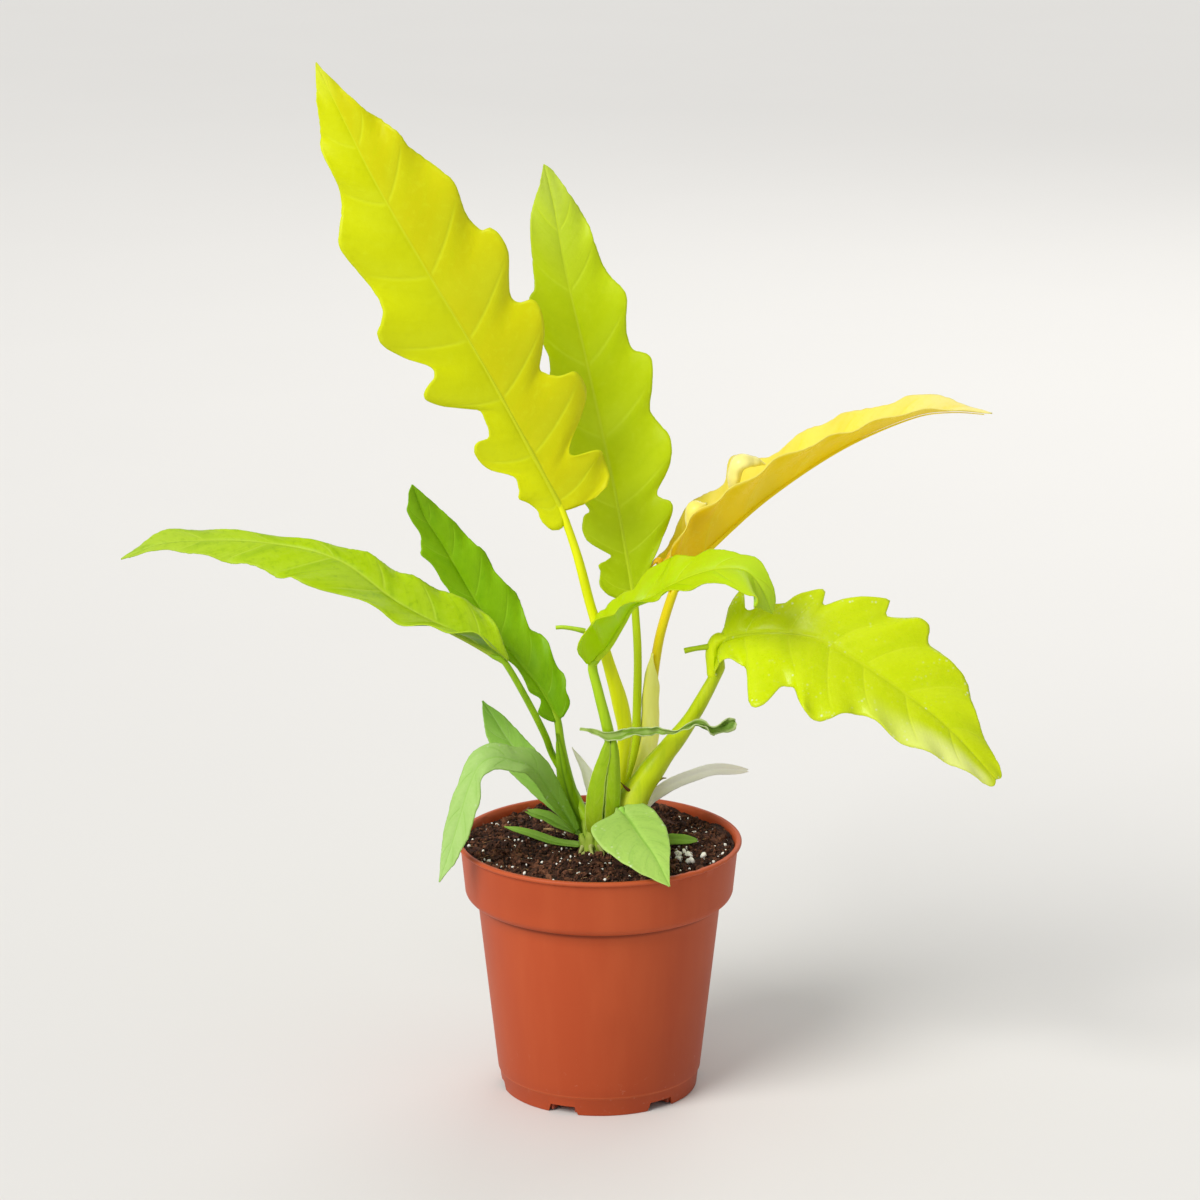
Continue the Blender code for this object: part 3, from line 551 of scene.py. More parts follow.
def crumble(bm, random, x, y, size, parts, jag, sink, flatness=0.95):
    turn = Euler([random.uniform(0, 2 * pi) for _ in range(3)]).to_matrix().to_4x4()
    squeeze = Matrix.Diagonal((1.0, random.uniform(0.6, 1.0), random.uniform(0.5, flatness), 1))
    place = Matrix.Translation((x * mm, y * mm, (fineBed(x, y) + size * sink) * mm))
    made = bmesh.ops.create_icosphere(bm, subdivisions=parts, radius=size * mm,
                                      matrix=place @ turn @ squeeze)["verts"]
    middle = place.translation
    drift = Vector((random.uniform(0, 9), random.uniform(0, 9), random.uniform(0, 9)))
    for vert in made:
        out = vert.co - middle
        vert.co = middle + out * (1 + jag * noise.noise(out / (size * mm) * 1.6 + drift))


def crumbFinish(name, dull, warm, roughness, scale=900):
    f = Finish(name, dull, roughness, 0.2)
    tone = f.noise(scale, 4, 0.65)
    f.coat(f.rise(tone, 0.4, 0.7), warm)
    f.coat(f.rise(f.noise(120, 2), 0.5, 0.75) * 0.4, warm)
    f.paint("Roughness", roughness - 0.15 * tone)
    f.relief(tone, 0.0003, 0.8)
    return f


def makeCrumbs():
    random = Random(crumbs["seed"])
    for name, (dull, warm) in crumbs["tints"].items():
        bm = bmesh.new()
        for _ in range(crumbs["large"] // len(crumbs["tints"])):
            x, y = spot(random, crumbs["largeReach"])
            size = random.uniform(crumbs["low"], crumbs["high"]) * random.uniform(0.6, 1.0)
            crumble(bm, random, x, y, size, parts=2, jag=0.75, sink=random.uniform(-0.3, 0.45),
                    flatness=0.9)
        for _ in range(crumbs["small"] // len(crumbs["tints"])):
            x, y = spot(random, crumbs["smallReach"])
            crumble(bm, random, x, y, random.uniform(0.3, 0.8), parts=1, jag=0.6,
                    sink=random.uniform(-0.1, 0.9))
        finish = crumbFinish(name + "Crumb", rgb(*dull), rgb(*warm), 0.93)
        addPiece("soil_" + name, bm, [finish], 50)


def makePerlite():
    random = Random(perlite["seed"])
    bm = bmesh.new()
    for _ in range(perlite["count"]):
        x, y = spot(random, perlite["reach"])
        crumble(bm, random, x, y, random.uniform(perlite["low"], perlite["high"]), parts=2, jag=0.4,
                sink=random.uniform(0.2, 0.8))
    for _ in range(perlite["pocket"]):  # the pocket of grains beside the rim leaf
        x, y = 31 + random.gauss(0, 2.6), -16 + random.gauss(0, 3.4)
        crumble(bm, random, x, y, random.uniform(0.7, 1.5), parts=2, jag=0.45, sink=0.75)
    finish = crumbFinish("perliteGrain", rgb(246, 240, 222), rgb(255, 253, 246), 0.8, 1500)
    addPiece("perlite_grains", bm, [finish], 60)


def makeBark():
    random = Random(bark["seed"])
    finishes = [crumbFinish("barkDark", rgb(58, 34, 24), rgb(96, 60, 40), 0.9, 500),
                crumbFinish("barkTan", rgb(150, 112, 70), rgb(206, 170, 118), 0.85, 500)]
    for name, finish, count, slim in (("bark_chips", finishes[0], bark["count"], 0.5),
                                      ("wood_slivers", finishes[1], bark["count"] // 5, 0.28)):
        bm = bmesh.new()
        for _ in range(count):
            x, y = spot(random, bark["reach"])
            long = random.uniform(1.8, 4.2)
            turn = Euler((random.gauss(0, 0.35), random.gauss(0, 0.35), random.uniform(0, 2 * pi)))
            size = Matrix.Diagonal((long * mm, long * slim * random.uniform(0.7, 1.2) * mm,
                                    random.uniform(0.4, 0.9) * mm, 1))
            place = Matrix.Translation((x * mm, y * mm, (fineBed(x, y) + 0.35) * mm))
            chip = bmesh.new()
            bmesh.ops.create_cube(chip, size=1.0, matrix=place @ turn.to_matrix().to_4x4() @ size)
            bmesh.ops.subdivide_edges(chip, edges=chip.edges[:], cuts=1, use_grid_fill=True)
            for vert in chip.verts:
                vert.co += noise.noise_vector(vert.co * 900) * 0.22 * mm
            joinMesh(bm, chip)
        addPiece(name, bm, [finish], 40)


def makeFibres():
    random = Random(fibres["seed"])
    bm = newTubeMesh()
    for _ in range(fibres["count"]):
        x, y = spot(random, fibres["reach"])
        heading, long = random.uniform(0, 2 * pi), random.uniform(3, 9)
        points = []
        for step in range(4):
            heading += random.gauss(0, 0.4)
            points.append((x, y, fineBed(x, y) + random.uniform(0.1, 0.9)))
            x += cos(heading) * long / 3
            y += sin(heading) * long / 3
        thin = random.uniform(0.10, 0.24)
        tube(bm, route(points, 0.9), ((0, thin * 0.5), (0.5, thin), (1, thin * 0.4)), 6)
    finish = crumbFinish("driedFibre", rgb(112, 80, 50), rgb(176, 138, 92), 0.85)
    addPiece("root_fibres", bm, [finish])


makeBed()
makeCrumbs()
makePerlite()
makeBark()
makeFibres()
print("potting mix made")


# Leaf and stalk finishes

def leafLook(main, tip, base, rib, under, **more):
    look = dict(main=main, tip=tip, base=base, rib=rib, under=under, half=main, underBase=under, edge=rib,
                halfShare=0.0, tipStart=0.7, roughness=0.40, glow=0.26, specks=0.0, ribShare=0.75,
                veinShare=0.45, baseEnd=0.26, edgeShare=0.4, edgeStart=0.93, quiltShare=1.0, band=0.0,
                shine=0.18)
    look.update(more)
    return {key: rgb(*value) if isinstance(value, tuple) else value for key, value in look.items()}


# Each look: main, tip, base, rib and underside colours, then what differs from the usual.
looks = dict(
    gold=leafLook(
        (226, 232, 0), (230, 236, 70), (244, 248, 0), (234, 244, 44), (212, 220, 0), half=(219, 212, 0),
        halfShare=0.8, tipStart=0.9, ribShare=0.65, veinShare=0.42),
    tall=leafLook(
        (214, 232, 0), (211, 230, 92), (192, 216, 0), (228, 246, 52), (198, 222, 0), tipStart=0.66,
        ribShare=0.65, veinShare=0.42),
    amber=leafLook(
        (253, 249, 118), (253, 252, 190), (252, 237, 60), (254, 246, 56), (254, 230, 0), tipStart=0.55,
        roughness=0.26, glow=0.40, underBase=(250, 206, 0), veinShare=0.3, shine=0.14,
        edge=(254, 250, 150)),
    arching=leafLook(
        (200, 219, 0), (202, 232, 60), (203, 222, 0), (214, 232, 40), (200, 240, 0), tipStart=0.5,
        roughness=0.34, glow=0.34, veinShare=0.3),
    lime=leafLook(
        (215, 231, 0), (216, 226, 20), (214, 232, 0), (230, 242, 50), (197, 220, 0), tipStart=0.88,
        specks=0.8, roughness=0.28, ribShare=0.3, veinShare=0.25, band=1.0, shine=0.26),
    long=leafLook(
        (188, 220, 8), (192, 218, 66), (184, 218, 0), (206, 230, 70), (112, 158, 6), tipStart=0.55,
        roughness=0.38),
    green=leafLook(
        (146, 196, 0), (138, 188, 12), (134, 190, 0), (166, 212, 36), (117, 174, 6)),
    lance=leafLook(
        (168, 216, 92), (148, 202, 76), (140, 194, 52), (186, 224, 122), (140, 194, 68), roughness=0.55),
    hanging=leafLook(
        (186, 222, 126), (190, 226, 136), (123, 171, 0), (156, 206, 84), (160, 206, 96), roughness=0.62,
        tipStart=0.6, ribShare=0.5, baseEnd=0.5, specks=0.4),
    rim=leafLook(
        (190, 226, 108), (176, 216, 100), (196, 230, 120), (128, 184, 56), (150, 200, 90), roughness=0.6,
        specks=0.6, ribShare=0.5, veinShare=0.08, edge=(206, 232, 140), quiltShare=0.25),
    withered=leafLook(
        (124, 164, 32), (104, 142, 50), (150, 186, 44), (196, 214, 130), (104, 146, 28), roughness=0.6,
        edge=(222, 234, 170), edgeShare=0.8, edgeStart=0.66, ribShare=0.4),
    sheath=leafLook(
        (164, 200, 14), (154, 196, 20), (176, 206, 36), (196, 220, 70), (134, 176, 10), roughness=0.42,
        ribShare=0.12, baseEnd=0.5, edge=(222, 234, 130), edgeShare=0.85, edgeStart=0.88),
    wing=leafLook(
        (140, 182, 10), (150, 192, 20), (128, 170, 6), (84, 120, 0), (122, 166, 8), roughness=0.42,
        ribShare=0.65, baseEnd=0.5, edge=(170, 204, 50)),
    small=leafLook(
        (136, 180, 56), (140, 180, 70), (148, 188, 70), (160, 200, 86), (124, 166, 52), roughness=0.55,
        ribShare=0.4),
    husk=leafLook(
        (253, 250, 242), (246, 238, 222), (248, 244, 222), (255, 252, 246), (250, 246, 238),
        roughness=0.6, glow=0.16, veinShare=0.5),
)


bladeLayers = ("along", "across", "fromRib", "vein")  # kept at every point of a blade, for its finish


def leafFinish(name, look, side):
    top = side == "upper"
    start = look["main"] if top else look["under"]
    f = Finish(name + side.capitalize(), start, look["roughness"], look["shine"])
    along, across, fromRib, vein = [f.attribute(key) for key in bladeLayers]
    cloud = f.noise(38, 3, 0.55)
    mottle = f.noise(420, 4, 0.62)
    flow = f.node("ShaderNodeCombineXYZ", None, {0: vein * 9, 1: fromRib * 0.05, 2: along * 3})
    streak = f.noise(1.0, 3, 0.6, flow)
    midrib = f.rise(fromRib, 1.35 - 0.95 * along, 0.15)
    phase = (vein + 0.5).fraction() - 0.5
    inner = f.rise(fromRib, 0.4, 2.0) * f.rise(abs(across), 1.0, 0.66)
    veinLine = f.rise(abs(phase), 0.045, 0.006) * inner
    # painted highlight and painted shade: beside each side vein the blade is lighter on one side and
    # darker on the other, as its quilting catches the light
    veinLitSide = f.rise(abs(phase - 0.11), 0.24, 0.02) * inner
    veinShadeSide = f.rise(abs(phase + 0.12), 0.24, 0.02) * inner
    f.colour = look["base"] if top else look["underBase"]
    f.coat(f.rise(along, 0.02, look["baseEnd"]), start)
    # painted shade: the right half of the blade darker
    if look["halfShare"]:
        f.coat(f.rise(across, -0.03, 0.03) * look["halfShare"], look["half"])
    f.coat(f.rise(along, look["tipStart"], 1.0) * (0.9 if top else 0.6), look["tip"])
    f.coat(f.rise(cloud, 0.42, 0.78) * 0.22, look["rib"])
    f.coat(f.rise(streak, 0.46, 0.72) * 0.22, look["under"])
    f.coat(f.rise(mottle, 0.50, 0.72) * 0.26, look["rib"])
    f.coat(f.rise(mottle, 0.48, 0.30) * 0.28, look["under"])
    # painted shade, then painted highlight, beside the side veins
    f.coat(veinShadeSide * 0.20 * look["quiltShare"], look["under"])
    f.coat(veinLitSide * 0.16 * look["quiltShare"], look["rib"])
    if look["band"]:  # a paler band along the lower margin
        low = f.rise(across + 0.5 * (cloud - 0.5), 0.30, 0.75)
        f.coat(low * f.band(along, 0.48, 0.82, 0.92, 0.99) * look["band"], rgb(242, 247, 140))
    # paler margins: the margins' own colour, with a painted highlight where the edges roll
    f.coat(f.rise(abs(across), look["edgeStart"], 1.0) * look["edgeShare"], look["edge"])
    f.coat(veinLine * look["veinShare"], look["rib"])
    f.coat(midrib * look["ribShare"], look["rib"])
    # white specks near the margins and the midrib: partly dust on the blade, partly painted small
    # highlights
    if look["specks"]:
        cells = f.node("ShaderNodeTexVoronoi", None, {"Vector": f.places(), "Scale": 520}, "Distance")
        where = f.rise(f.noise(120, 3, 0.6), 0.50, 0.62)
        near = f.rise(abs(across), 0.55, 1.0) + midrib * 0.6 + 0.15
        f.coat(f.rise(cells, 0.34, 0.04) * where * near * look["specks"], rgb(248, 250, 226))
    f.paint("Roughness", look["roughness"] + 0.16 * (cloud - 0.5) + 0.16 * (mottle - 0.5))
    f.relief(f.noise(1500, 2, 0.6) * 0.16 + mottle * 0.7 + streak * 0.5 - veinLine * 0.5, 0.00026, 0.6)
    f.glow(look["base"] if top else start, look["glow"])
    return f


def stalkFinish(name, colour, edge, foot, roughness=0.40):
    f = Finish(name, rgb(*colour), roughness, 0.24)
    along, turn = f.attribute("along"), f.attribute("turn")
    fibres = f.noise(420, 3, 0.6, f.places((1, 1, 0.06)))
    f.coat(f.rise(along, 0.35, 0.0), rgb(*foot))
    f.coat(f.rise(fibres, 0.42, 0.72) * 0.5, rgb(*edge))
    # painted shade on the stalks: their darker edge colour on the side of each stalk that faces the
    # middle of the plant
    f.coat(f.rise(turn, 0.35, 1.0) * 0.35, rgb(*edge))
    f.coat(f.rise(f.noise(70), 0.5, 0.8) * 0.25, rgb(*foot))
    f.paint("Roughness", roughness + 0.12 * fibres - 0.06)
    f.relief(fibres + 0.3 * f.noise(1400, 2), 0.00015, 0.5)
    return f


# Leaves: midrib points, the way the upper side faces, how the halves fold, and both
# margins as (along the midrib, reach) in mm.  ribs are where the side veins leave the midrib,
# and veins are their angles to it.

# quilt swells the blade between the side veins, ruffle waves its margins, curl drops them, fray
# gives them teeth, groove sinks the midrib, keel is its size under the blade, wave and crumple
# are wide and fine unevenness, and bend and lean turn the side veins towards the tip.
usualBlade = dict(step=0.9, columns=18, thick=0.42, quilt=0.85, ruffle=1.3, curl=0.05, groove=0.45,
                  lean=(0.0, 0.0), bend=6.0, wave=0.5, keel=0.9, fray=0.45, crumple=0.0,
                  veins=((0, 75), (0.15, 62), (0.8, 47), (1, 30)))


def ribPhase(along, ribs):  # whole numbers fall on the side veins
    if along < ribs[0]:
        return (along - ribs[0]) / max(ribs[0], 8)
    for index, (start, end) in enumerate(zip(ribs, ribs[1:])):
        if along < end:
            return index + (along - start) / (end - start)
    return len(ribs) - 1 + (along - ribs[-1]) / (ribs[-1] - ribs[-2])


def fringe(along, hand):  # small teeth and dents between the lobes
    return (0.6 * noise.noise(Vector((along * 0.16, hand * 7, 2)))
            + 0.9 * noise.noise(Vector((along * 0.42, hand * 9, 5)))
            + 0.5 * noise.noise(Vector((along * 0.95, hand * 5, 8))))


def makeBlade(name, node, leaf, look):
    shape = {**usualBlade, **leaf}
    path = route(shape["midrib"], shape["step"])
    ways = headings(path)
    rows = len(path) - 1
    length = sum((b - a).length for a, b in zip(path, path[1:])) / mm
    halves = {}
    for hand, key in ((1, "right"), (-1, "left")):
        margin = shape.get(key, shape["right"])
        halves[hand] = (marginTable(margin), margin[-1][0], shape.get(key + "Veins", shape["veins"]))
    bm = bmesh.new()
    layers = [bm.verts.layers.float.new(key) for key in bladeLayers]
    bmesh.ops.create_grid(bm, x_segments=rows, y_segments=2 * shape["columns"], size=1.0)
    for vert in bm.verts:
        share, hand = (vert.co.x + 1) / 2, 1 if vert.co.y > 0 else -1
        row, t = round(share * rows), abs(vert.co.y)
        along = share * length
        table, end, veins = halves[hand]
        reach = readTable(table, along * end / length)
        reach += shape["fray"] * min(reach / 8, 1) * fringe(along, hand)
        far = reach * t
        way = ways[row]
        up = square(keyed(shape["facing"], share), way)
        side = way.cross(up) * hand
        fold = radians(keyed(shape["fold"], share))
        angle = radians(keyed(veins, share))
        out = (side * cos(fold) + up * sin(fold)) * sin(angle) + way * cos(angle)
        lift = (up * cos(fold) - side * sin(fold)).normalized()
        phase = ribPhase(along - shape["bend"] * t * t + shape["lean"][hand < 0] * far, shape["ribs"])
        wide = min(reach / 14, 1)
        place = path[row] + out * far * mm
        rise = shape["quilt"] * abs(sin(pi * phase)) ** 0.75 * sin(pi * t ** 0.8) * wide
        rise += shape["ruffle"] * t ** 3 * sin(2 * pi * phase + 0.8 * hand) * wide
        rise -= shape["curl"] * far * t
        rise -= shape["groove"] * exp(-(far / 1.1) ** 2) * (1 - 0.6 * share)
        rise += shape["wave"] * t * noise.noise(place * 55)
        rise += shape["crumple"] * noise.noise(place * 260)
        for layer, value in zip(layers, (share, hand * t, far, phase)):
            vert[layer] = value
        vert.co = path[row] + (out * far + lift * rise) * mm
    bmesh.ops.reverse_faces(bm, faces=bm.faces)
    finishes = [leafFinish(name, look, "upper"), leafFinish(name, look, "under")]
    piece = addPiece(name, bm, finishes, 70, outward=False)
    thicken(piece, shape["thick"])
    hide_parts(node)
    if shape["keel"]:  # the midrib stands out under the blade
        line = []
        for row in range(rows - 2):
            up = square(keyed(shape["facing"], row / rows), ways[row])
            line.append(path[row] - up * (0.35 + shape["groove"]) * mm)
        bm = newTubeMesh()
        tube(bm, line, ((0, shape["keel"]), (0.5, shape["keel"] * 0.55), (1, 0.18)), 10)
        addPiece(name + "_midrib", bm, [leafFinish(name + "Rib", look, "under")])


# A leaf without a left margin is alike on both sides.  piece, node and look are written only
# where they aren't the leaf's own name with _blade, with _leaf and alone.
flap = dict(slot="sheath_green", look="sheath", fold=8, ribs=(6, 14, 22, 30), ruffle=0.1, quilt=0.15,
            keel=0, groove=-0.3)
huskLeaf = dict(slot="husk", look="husk", fold=6, quilt=0.15, columns=7, keel=0, thick=0.22)
lowLeaf = dict(slot="leaf_deep", look="small", ruffle=0.2, quilt=0.1, columns=7, keel=0.4)
leaves = dict(
    gold=dict(
        slot="leaf_gold",
        midrib=((-13, -8, 221), (-26, -12, 247), (-43, -17, 280), (-61, -22, 312), (-77, -24, 341),
            (-89, -22, 365), (-98, -18, 383)),
        facing=((0, (0.15, -1, 0.25)), (1, (-0.1, -1, 0.15))), fold=((0, 8), (1, 4)),
        rightVeins=((0, 100), (0.03, 76), (0.15, 62), (0.8, 47), (1, 30)),
        leftVeins=((0, 152), (0.012, 125), (0.024, 100), (0.05, 80), (0.15, 62), (0.8, 47), (1, 30)),
        right=((0, 8), (2, 19), (4, 22), (8.5, 22.5), (13, 13), (16, 15), (20.5, 29), (25.5, 32),
            (30, 30.5), (34, 24.5), (41, 19), (44.5, 23), (49, 28.5), (55, 31.5), (59, 30.5), (62, 26),
            (66, 24), (70, 27), (75, 33), (80, 34.5), (85, 33), (88, 29), (96, 27.5), (105, 31),
            (112, 29), (120, 25.5), (129, 22), (136, 21), (151, 13), (160, 9.5), (173, 4.5), (184, 0.3)),
        left=((0, 6), (2, 9), (4, 8.8), (6, 8), (8, 9.5), (11, 12.5), (14, 11), (18, 10.5), (21, 17.5),
            (26, 20.5), (31, 18), (33, 12.5), (40, 10.5), (44, 11), (45.5, 21), (49, 27.5), (53, 26),
            (58, 20.5), (62, 19.5), (65, 26), (70, 31.5), (75, 32), (79, 29), (85, 25), (91, 24),
            (99, 26), (104, 28), (109, 28), (115, 24.5), (124, 19), (133, 16), (145, 16), (154, 12.5),
            (169, 7.5), (184, 0.3)),
        ribs=(4, 24, 48, 73, 100, 130, 152), lean=(0.1, 0.3), ruffle=1.5, quilt=0.75, keel=1.3, fray=0.3,
        groove=0.2),
    tall=dict(
        slot="leaf_lime",
        midrib=((13, 12, 182), (6, 17, 221), (-1, 23, 253), (-6, 27, 275), (-12, 32, 300), (-16, 36, 322),
            (-20, 38, 339)),
        facing=((0, (0, -1, 0.2)), (1, (0.15, -1, 0.25))), fold=((0, 6), (1, 4)),
        right=((0, 2), (8.5, 8), (12.5, 12), (18, 18.5), (21, 22), (24, 22), (27.5, 18.5), (30.5, 17),
            (35, 23.5), (39.5, 26.5), (44.5, 27), (48.5, 25), (55, 22), (58.5, 22.5), (63.5, 26),
            (68.5, 28), (72.5, 27), (78, 21.5), (83.5, 20.5), (88.5, 22), (93.5, 25), (98, 24), (104, 21),
            (111.5, 18.5), (126.5, 16), (135, 13), (145.5, 9), (155, 5.5), (163, 0.3)),
        left=((0, 3), (1.5, 8.5), (4, 11.5), (6, 12), (9.5, 11), (12, 11.5), (13.5, 9), (16, 6),
            (17.5, 11), (19, 15), (23, 16), (28, 14.5), (31, 12), (38, 18), (46, 20), (56, 14.5),
            (66, 19), (75, 18), (84.5, 16.5), (93, 19), (103, 20.5), (109.5, 16.5), (120.5, 14.5),
            (128, 14.5), (138.5, 12), (150.5, 6.5), (163, 0.3)),
        ribs=(4, 18, 35, 61, 88, 116, 138), lean=(0.1, 0.1), quilt=0.7, keel=1.1, fray=0.3, groove=0.2),
    amber=dict(
        slot="leaf_amber",
        midrib=((26, 16, 184), (33, 20, 192.5), (42, 24, 201), (62, 32, 217), (89, 40, 233.5),
            (115, 45, 244), (130, 45, 246.5), (145, 43, 246)),
        facing=((0, (-0.6, -0.1, 1)), (0.3, (-0.2, -0.05, 1)), (1, (0, 0, 1))),
        fold=((0, 60), (0.3, 50), (0.7, 42), (1, 20)),
        right=((0, 2), (6, 15), (16, 24), (35, 25), (59, 20), (90, 11), (116, 5), (130, 4), (143, 0.3)),
        left=((0, 2), (4, 12), (9, 12), (15, 16), (22, 20), (35, 16), (41, 24), (54, 14), (67, 17),
            (77, 14), (84, 16), (100, 11), (108, 13), (124, 8), (143, 0.3)),
        ribs=(8, 20, 40, 64, 84, 108, 126), ruffle=0.9, quilt=0.6, keel=1.0),
    arching=dict(
        slot="leaf_fresh",
        midrib=((-3, -14, 165), (-1, -14.5, 168.5), (3, -15, 173), (8, -17, 182), (12, -19, 189),
            (20, -21, 193), (26, -24, 198), (35, -28, 203), (44, -32, 206), (52, -36, 206),
            (57, -39, 201), (61, -41, 192)),
        facing=((0, (-1, 0, 0.5)), (0.35, (-0.5, -0.25, 1)), (0.6, (0, -0.6, 0.9)),
            (0.8, (0.5, -0.7, 0.8)), (1, (0.9, -0.7, 0.4))),
        fold=((0, 48), (0.35, 25), (0.6, 10), (1, 5)),
        right=((0, 3), (4, 16), (11, 22), (20, 18), (30, 13), (42, 9), (48, 12.5), (54.5, 10), (61.5, 11),
            (64, 15), (67, 21), (71, 21.5), (76, 19.5), (81, 13), (87, 7), (95, 0.3)),
        left=((0, 3), (6, 13), (14, 12), (24, 9), (28.5, 6.5), (30.5, 13), (32.5, 15.5), (36, 17.5),
            (41, 14), (47, 11.5), (51, 10), (54.5, 11.5), (61, 10), (67, 8.5), (74, 8), (78, 6.5),
            (83, 7), (88, 5.5), (95, 0.3)),
        ribs=(8, 20, 34, 48, 64, 80), ruffle=0.5, quilt=0.6, keel=1.1),
    lime=dict(
        slot="leaf_lime",
        midrib=((42, -8, 161), (42.5, -9.5, 167), (45, -12.5, 174), (58, -19, 178.5), (76, -24, 178.5),
            (91, -29.5, 172), (107, -35.5, 162.5), (124, -41, 150), (141, -45, 132)),
        veins=((0, 80), (0.2, 76), (0.5, 66), (0.8, 50), (1, 30)),
        rightVeins=((0, 100), (0.16, 92), (0.3, 80), (0.5, 66), (0.8, 50), (1, 30)),
        facing=((0, (-1, -0.3, 0.2)), (0.08, (-0.8, -0.5, 0.6)), (0.2, (0, -0.75, 0.65)),
            (0.7, (0.25, -0.75, 0.6)), (1, (0.5, -0.7, 0.5))), fold=((0, 20), (0.2, 10), (1, 4)),
        right=((0, 2), (4, 7), (10, 9), (19, 10), (24, 12.5), (26, 14), (27.5, 21), (28.5, 28), (30, 32),
            (32, 31.5), (34, 28), (37, 22.5), (42, 22.5), (44, 27), (47, 31), (53, 32), (57.5, 31),
            (61, 28), (65, 24), (71, 20), (76, 19.5), (82, 20.5), (88.5, 20), (97, 17.5), (108, 13.5),
            (116.5, 10.5), (124, 8), (129, 5), (132, 0.3)),
        left=((0, 2), (10, 4), (14, 4), (15.5, 13), (18, 17.5), (20, 17), (21.5, 10.5), (24, 9.5),
            (26.5, 12), (34.5, 11.5), (36.5, 14), (39.5, 17), (43.5, 19.5), (45, 14), (46.5, 14.5),
            (48.5, 18), (52.5, 24), (55.5, 27.5), (57, 24), (58.5, 22.5), (61, 25), (64.5, 28), (68, 29),
            (70.5, 27.5), (72.5, 24.5), (75.5, 23), (84, 23.5), (88.5, 23), (93, 20.5), (97.5, 17),
            (104, 14), (111, 11.5), (118, 9.5), (124.5, 8), (129, 5), (132, 0.3)),
        ribs=(12, 24, 40, 56, 70, 88, 108), ruffle=1.2, quilt=0.5, keel=1.2, fray=0.3),
    long=dict(
        slot="leaf_fresh",
        midrib=((-33, -9, 165), (-47, -7, 173), (-72, -2, 185), (-94, 6, 199), (-117, 13, 203.5),
            (-140, 17, 204), (-160, 18, 202.5), (-175, 17, 197)),
        facing=((0, (0.5, -0.1, 1)), (0.25, (0.2, -0.5, 1)), (0.5, (0, -0.6, 1)), (1, (-0.3, -0.4, 1))),
        fold=((0, 38), (0.25, 18), (0.5, 2), (1, 2)),
        right=((0, 2), (10, 14), (18, 16), (36, 15), (50, 12), (62, 10), (73, 7), (99, 6), (125, 10),
            (135, 9), (156, 0.3)),
        left=((0, 2), (8, 14), (23, 15), (38, 14), (52, 18), (62, 25), (78, 20), (92, 17), (114, 12),
            (132, 6), (140, 6), (156, 0.3)),
        ribs=(12, 30, 52, 75, 100, 125), ruffle=1.2, quilt=0.7, keel=1.0),
    green=dict(
        slot="leaf_deep",
        midrib=((-15, 7, 138), (-22, 11, 150), (-35, 17, 165), (-47, 20, 183), (-56, 21, 199),
            (-64, 19, 213), (-68, 16, 225)),
        facing=((0, (0.45, -1, 0.3)), (1, (0.3, -1, 0.2))), fold=((0, 20), (0.6, 18), (1, 10)),
        right=((0, 3), (1, 6), (3, 7.5), (6, 8), (8, 10), (10, 11), (12, 10.5), (14, 11), (16.5, 13),
            (19, 14.5), (22, 14.5), (26.5, 12.5), (29.5, 13.5), (34, 15.5), (38.5, 16.5), (42.5, 16),
            (48, 15), (51.5, 14.5), (58, 15.5), (64.5, 13.5), (71, 11.5), (78, 10.5), (85.5, 8.5),
            (94.5, 5.5), (105, 0.3)),
        left=((0, 2.5), (1.5, 5), (4, 6.5), (7, 4), (9.5, 3), (12, 5.5), (15.5, 4.5), (20.5, 3.5),
            (25, 3), (32, 6), (43, 12), (50, 11), (56.5, 9), (61, 10), (66, 11), (69, 12.5), (71, 13.5),
            (74.5, 11), (82, 7.5), (91, 7.5), (95, 6), (99.5, 4.5), (105, 0.3)),
        ribs=(10, 22, 38, 55, 72, 88), ruffle=0.9, quilt=0.7, keel=1.0, fray=0.3),
    lance=dict(
        slot="leaf_deep",
        midrib=((-8, 0, 99), (-17, 8, 108), (-26, 12, 119), (-34, 15, 129), (-39, 16, 137),
            (-43, 16, 143)),
        facing=(0.3, -1, 0.3), fold=((0, 15), (1, 8)),
        right=((0, 1.6), (10, 4), (22, 7), (45, 6), (64, 0.3)),
        left=((0, 1.6), (14, 5), (30, 9), (42, 9), (55, 5), (64, 0.3)),
        ribs=(12, 22, 32, 42, 52), ruffle=0.3, quilt=0.2, columns=10, keel=0.7),
    hanging=dict(
        slot="leaf_pale",
        midrib=((-8, -8, 100), (-17, -11, 116), (-24, -16, 127), (-30, -21, 131), (-37, -25, 134),
            (-43, -28, 132), (-47, -30, 124), (-50, -31, 114), (-54, -30, 100), (-58, -29, 88)),
        facing=((0, (0.3, -0.8, 0.6)), (0.45, (0, -0.7, 0.8)), (0.55, (-0.4, -0.6, 0.7)),
            (0.65, (-0.6, -0.8, 0.3)), (1, (-0.6, -0.8, 0))), fold=((0, 10), (1, 6)),
        right=((0, 1.6), (18, 5), (32, 7), (62, 6), (75, 7), (92, 5), (108, 0.3)),
        left=((0, 1.6), (14, 4), (32, 5), (52, 8), (72, 9), (92, 6), (108, 0.3)),
        ribs=(14, 30, 46, 60, 74, 88), ruffle=0.6, quilt=0.3, columns=10, keel=0.6),
    rim=dict(
        slot="leaf_pale",
        midrib=((8, -14, 111), (11, -22, 109), (15, -32, 106), (20, -43, 102), (25, -54, 95)),
        facing=((0, (0.2, -0.5, 1)), (0.6, (0.1, -0.6, 0.9)), (1, (0.1, -0.9, 0.6))), fold=6,
        veins=((0, 105), (0.12, 84), (0.4, 68), (0.8, 48), (1, 30)),
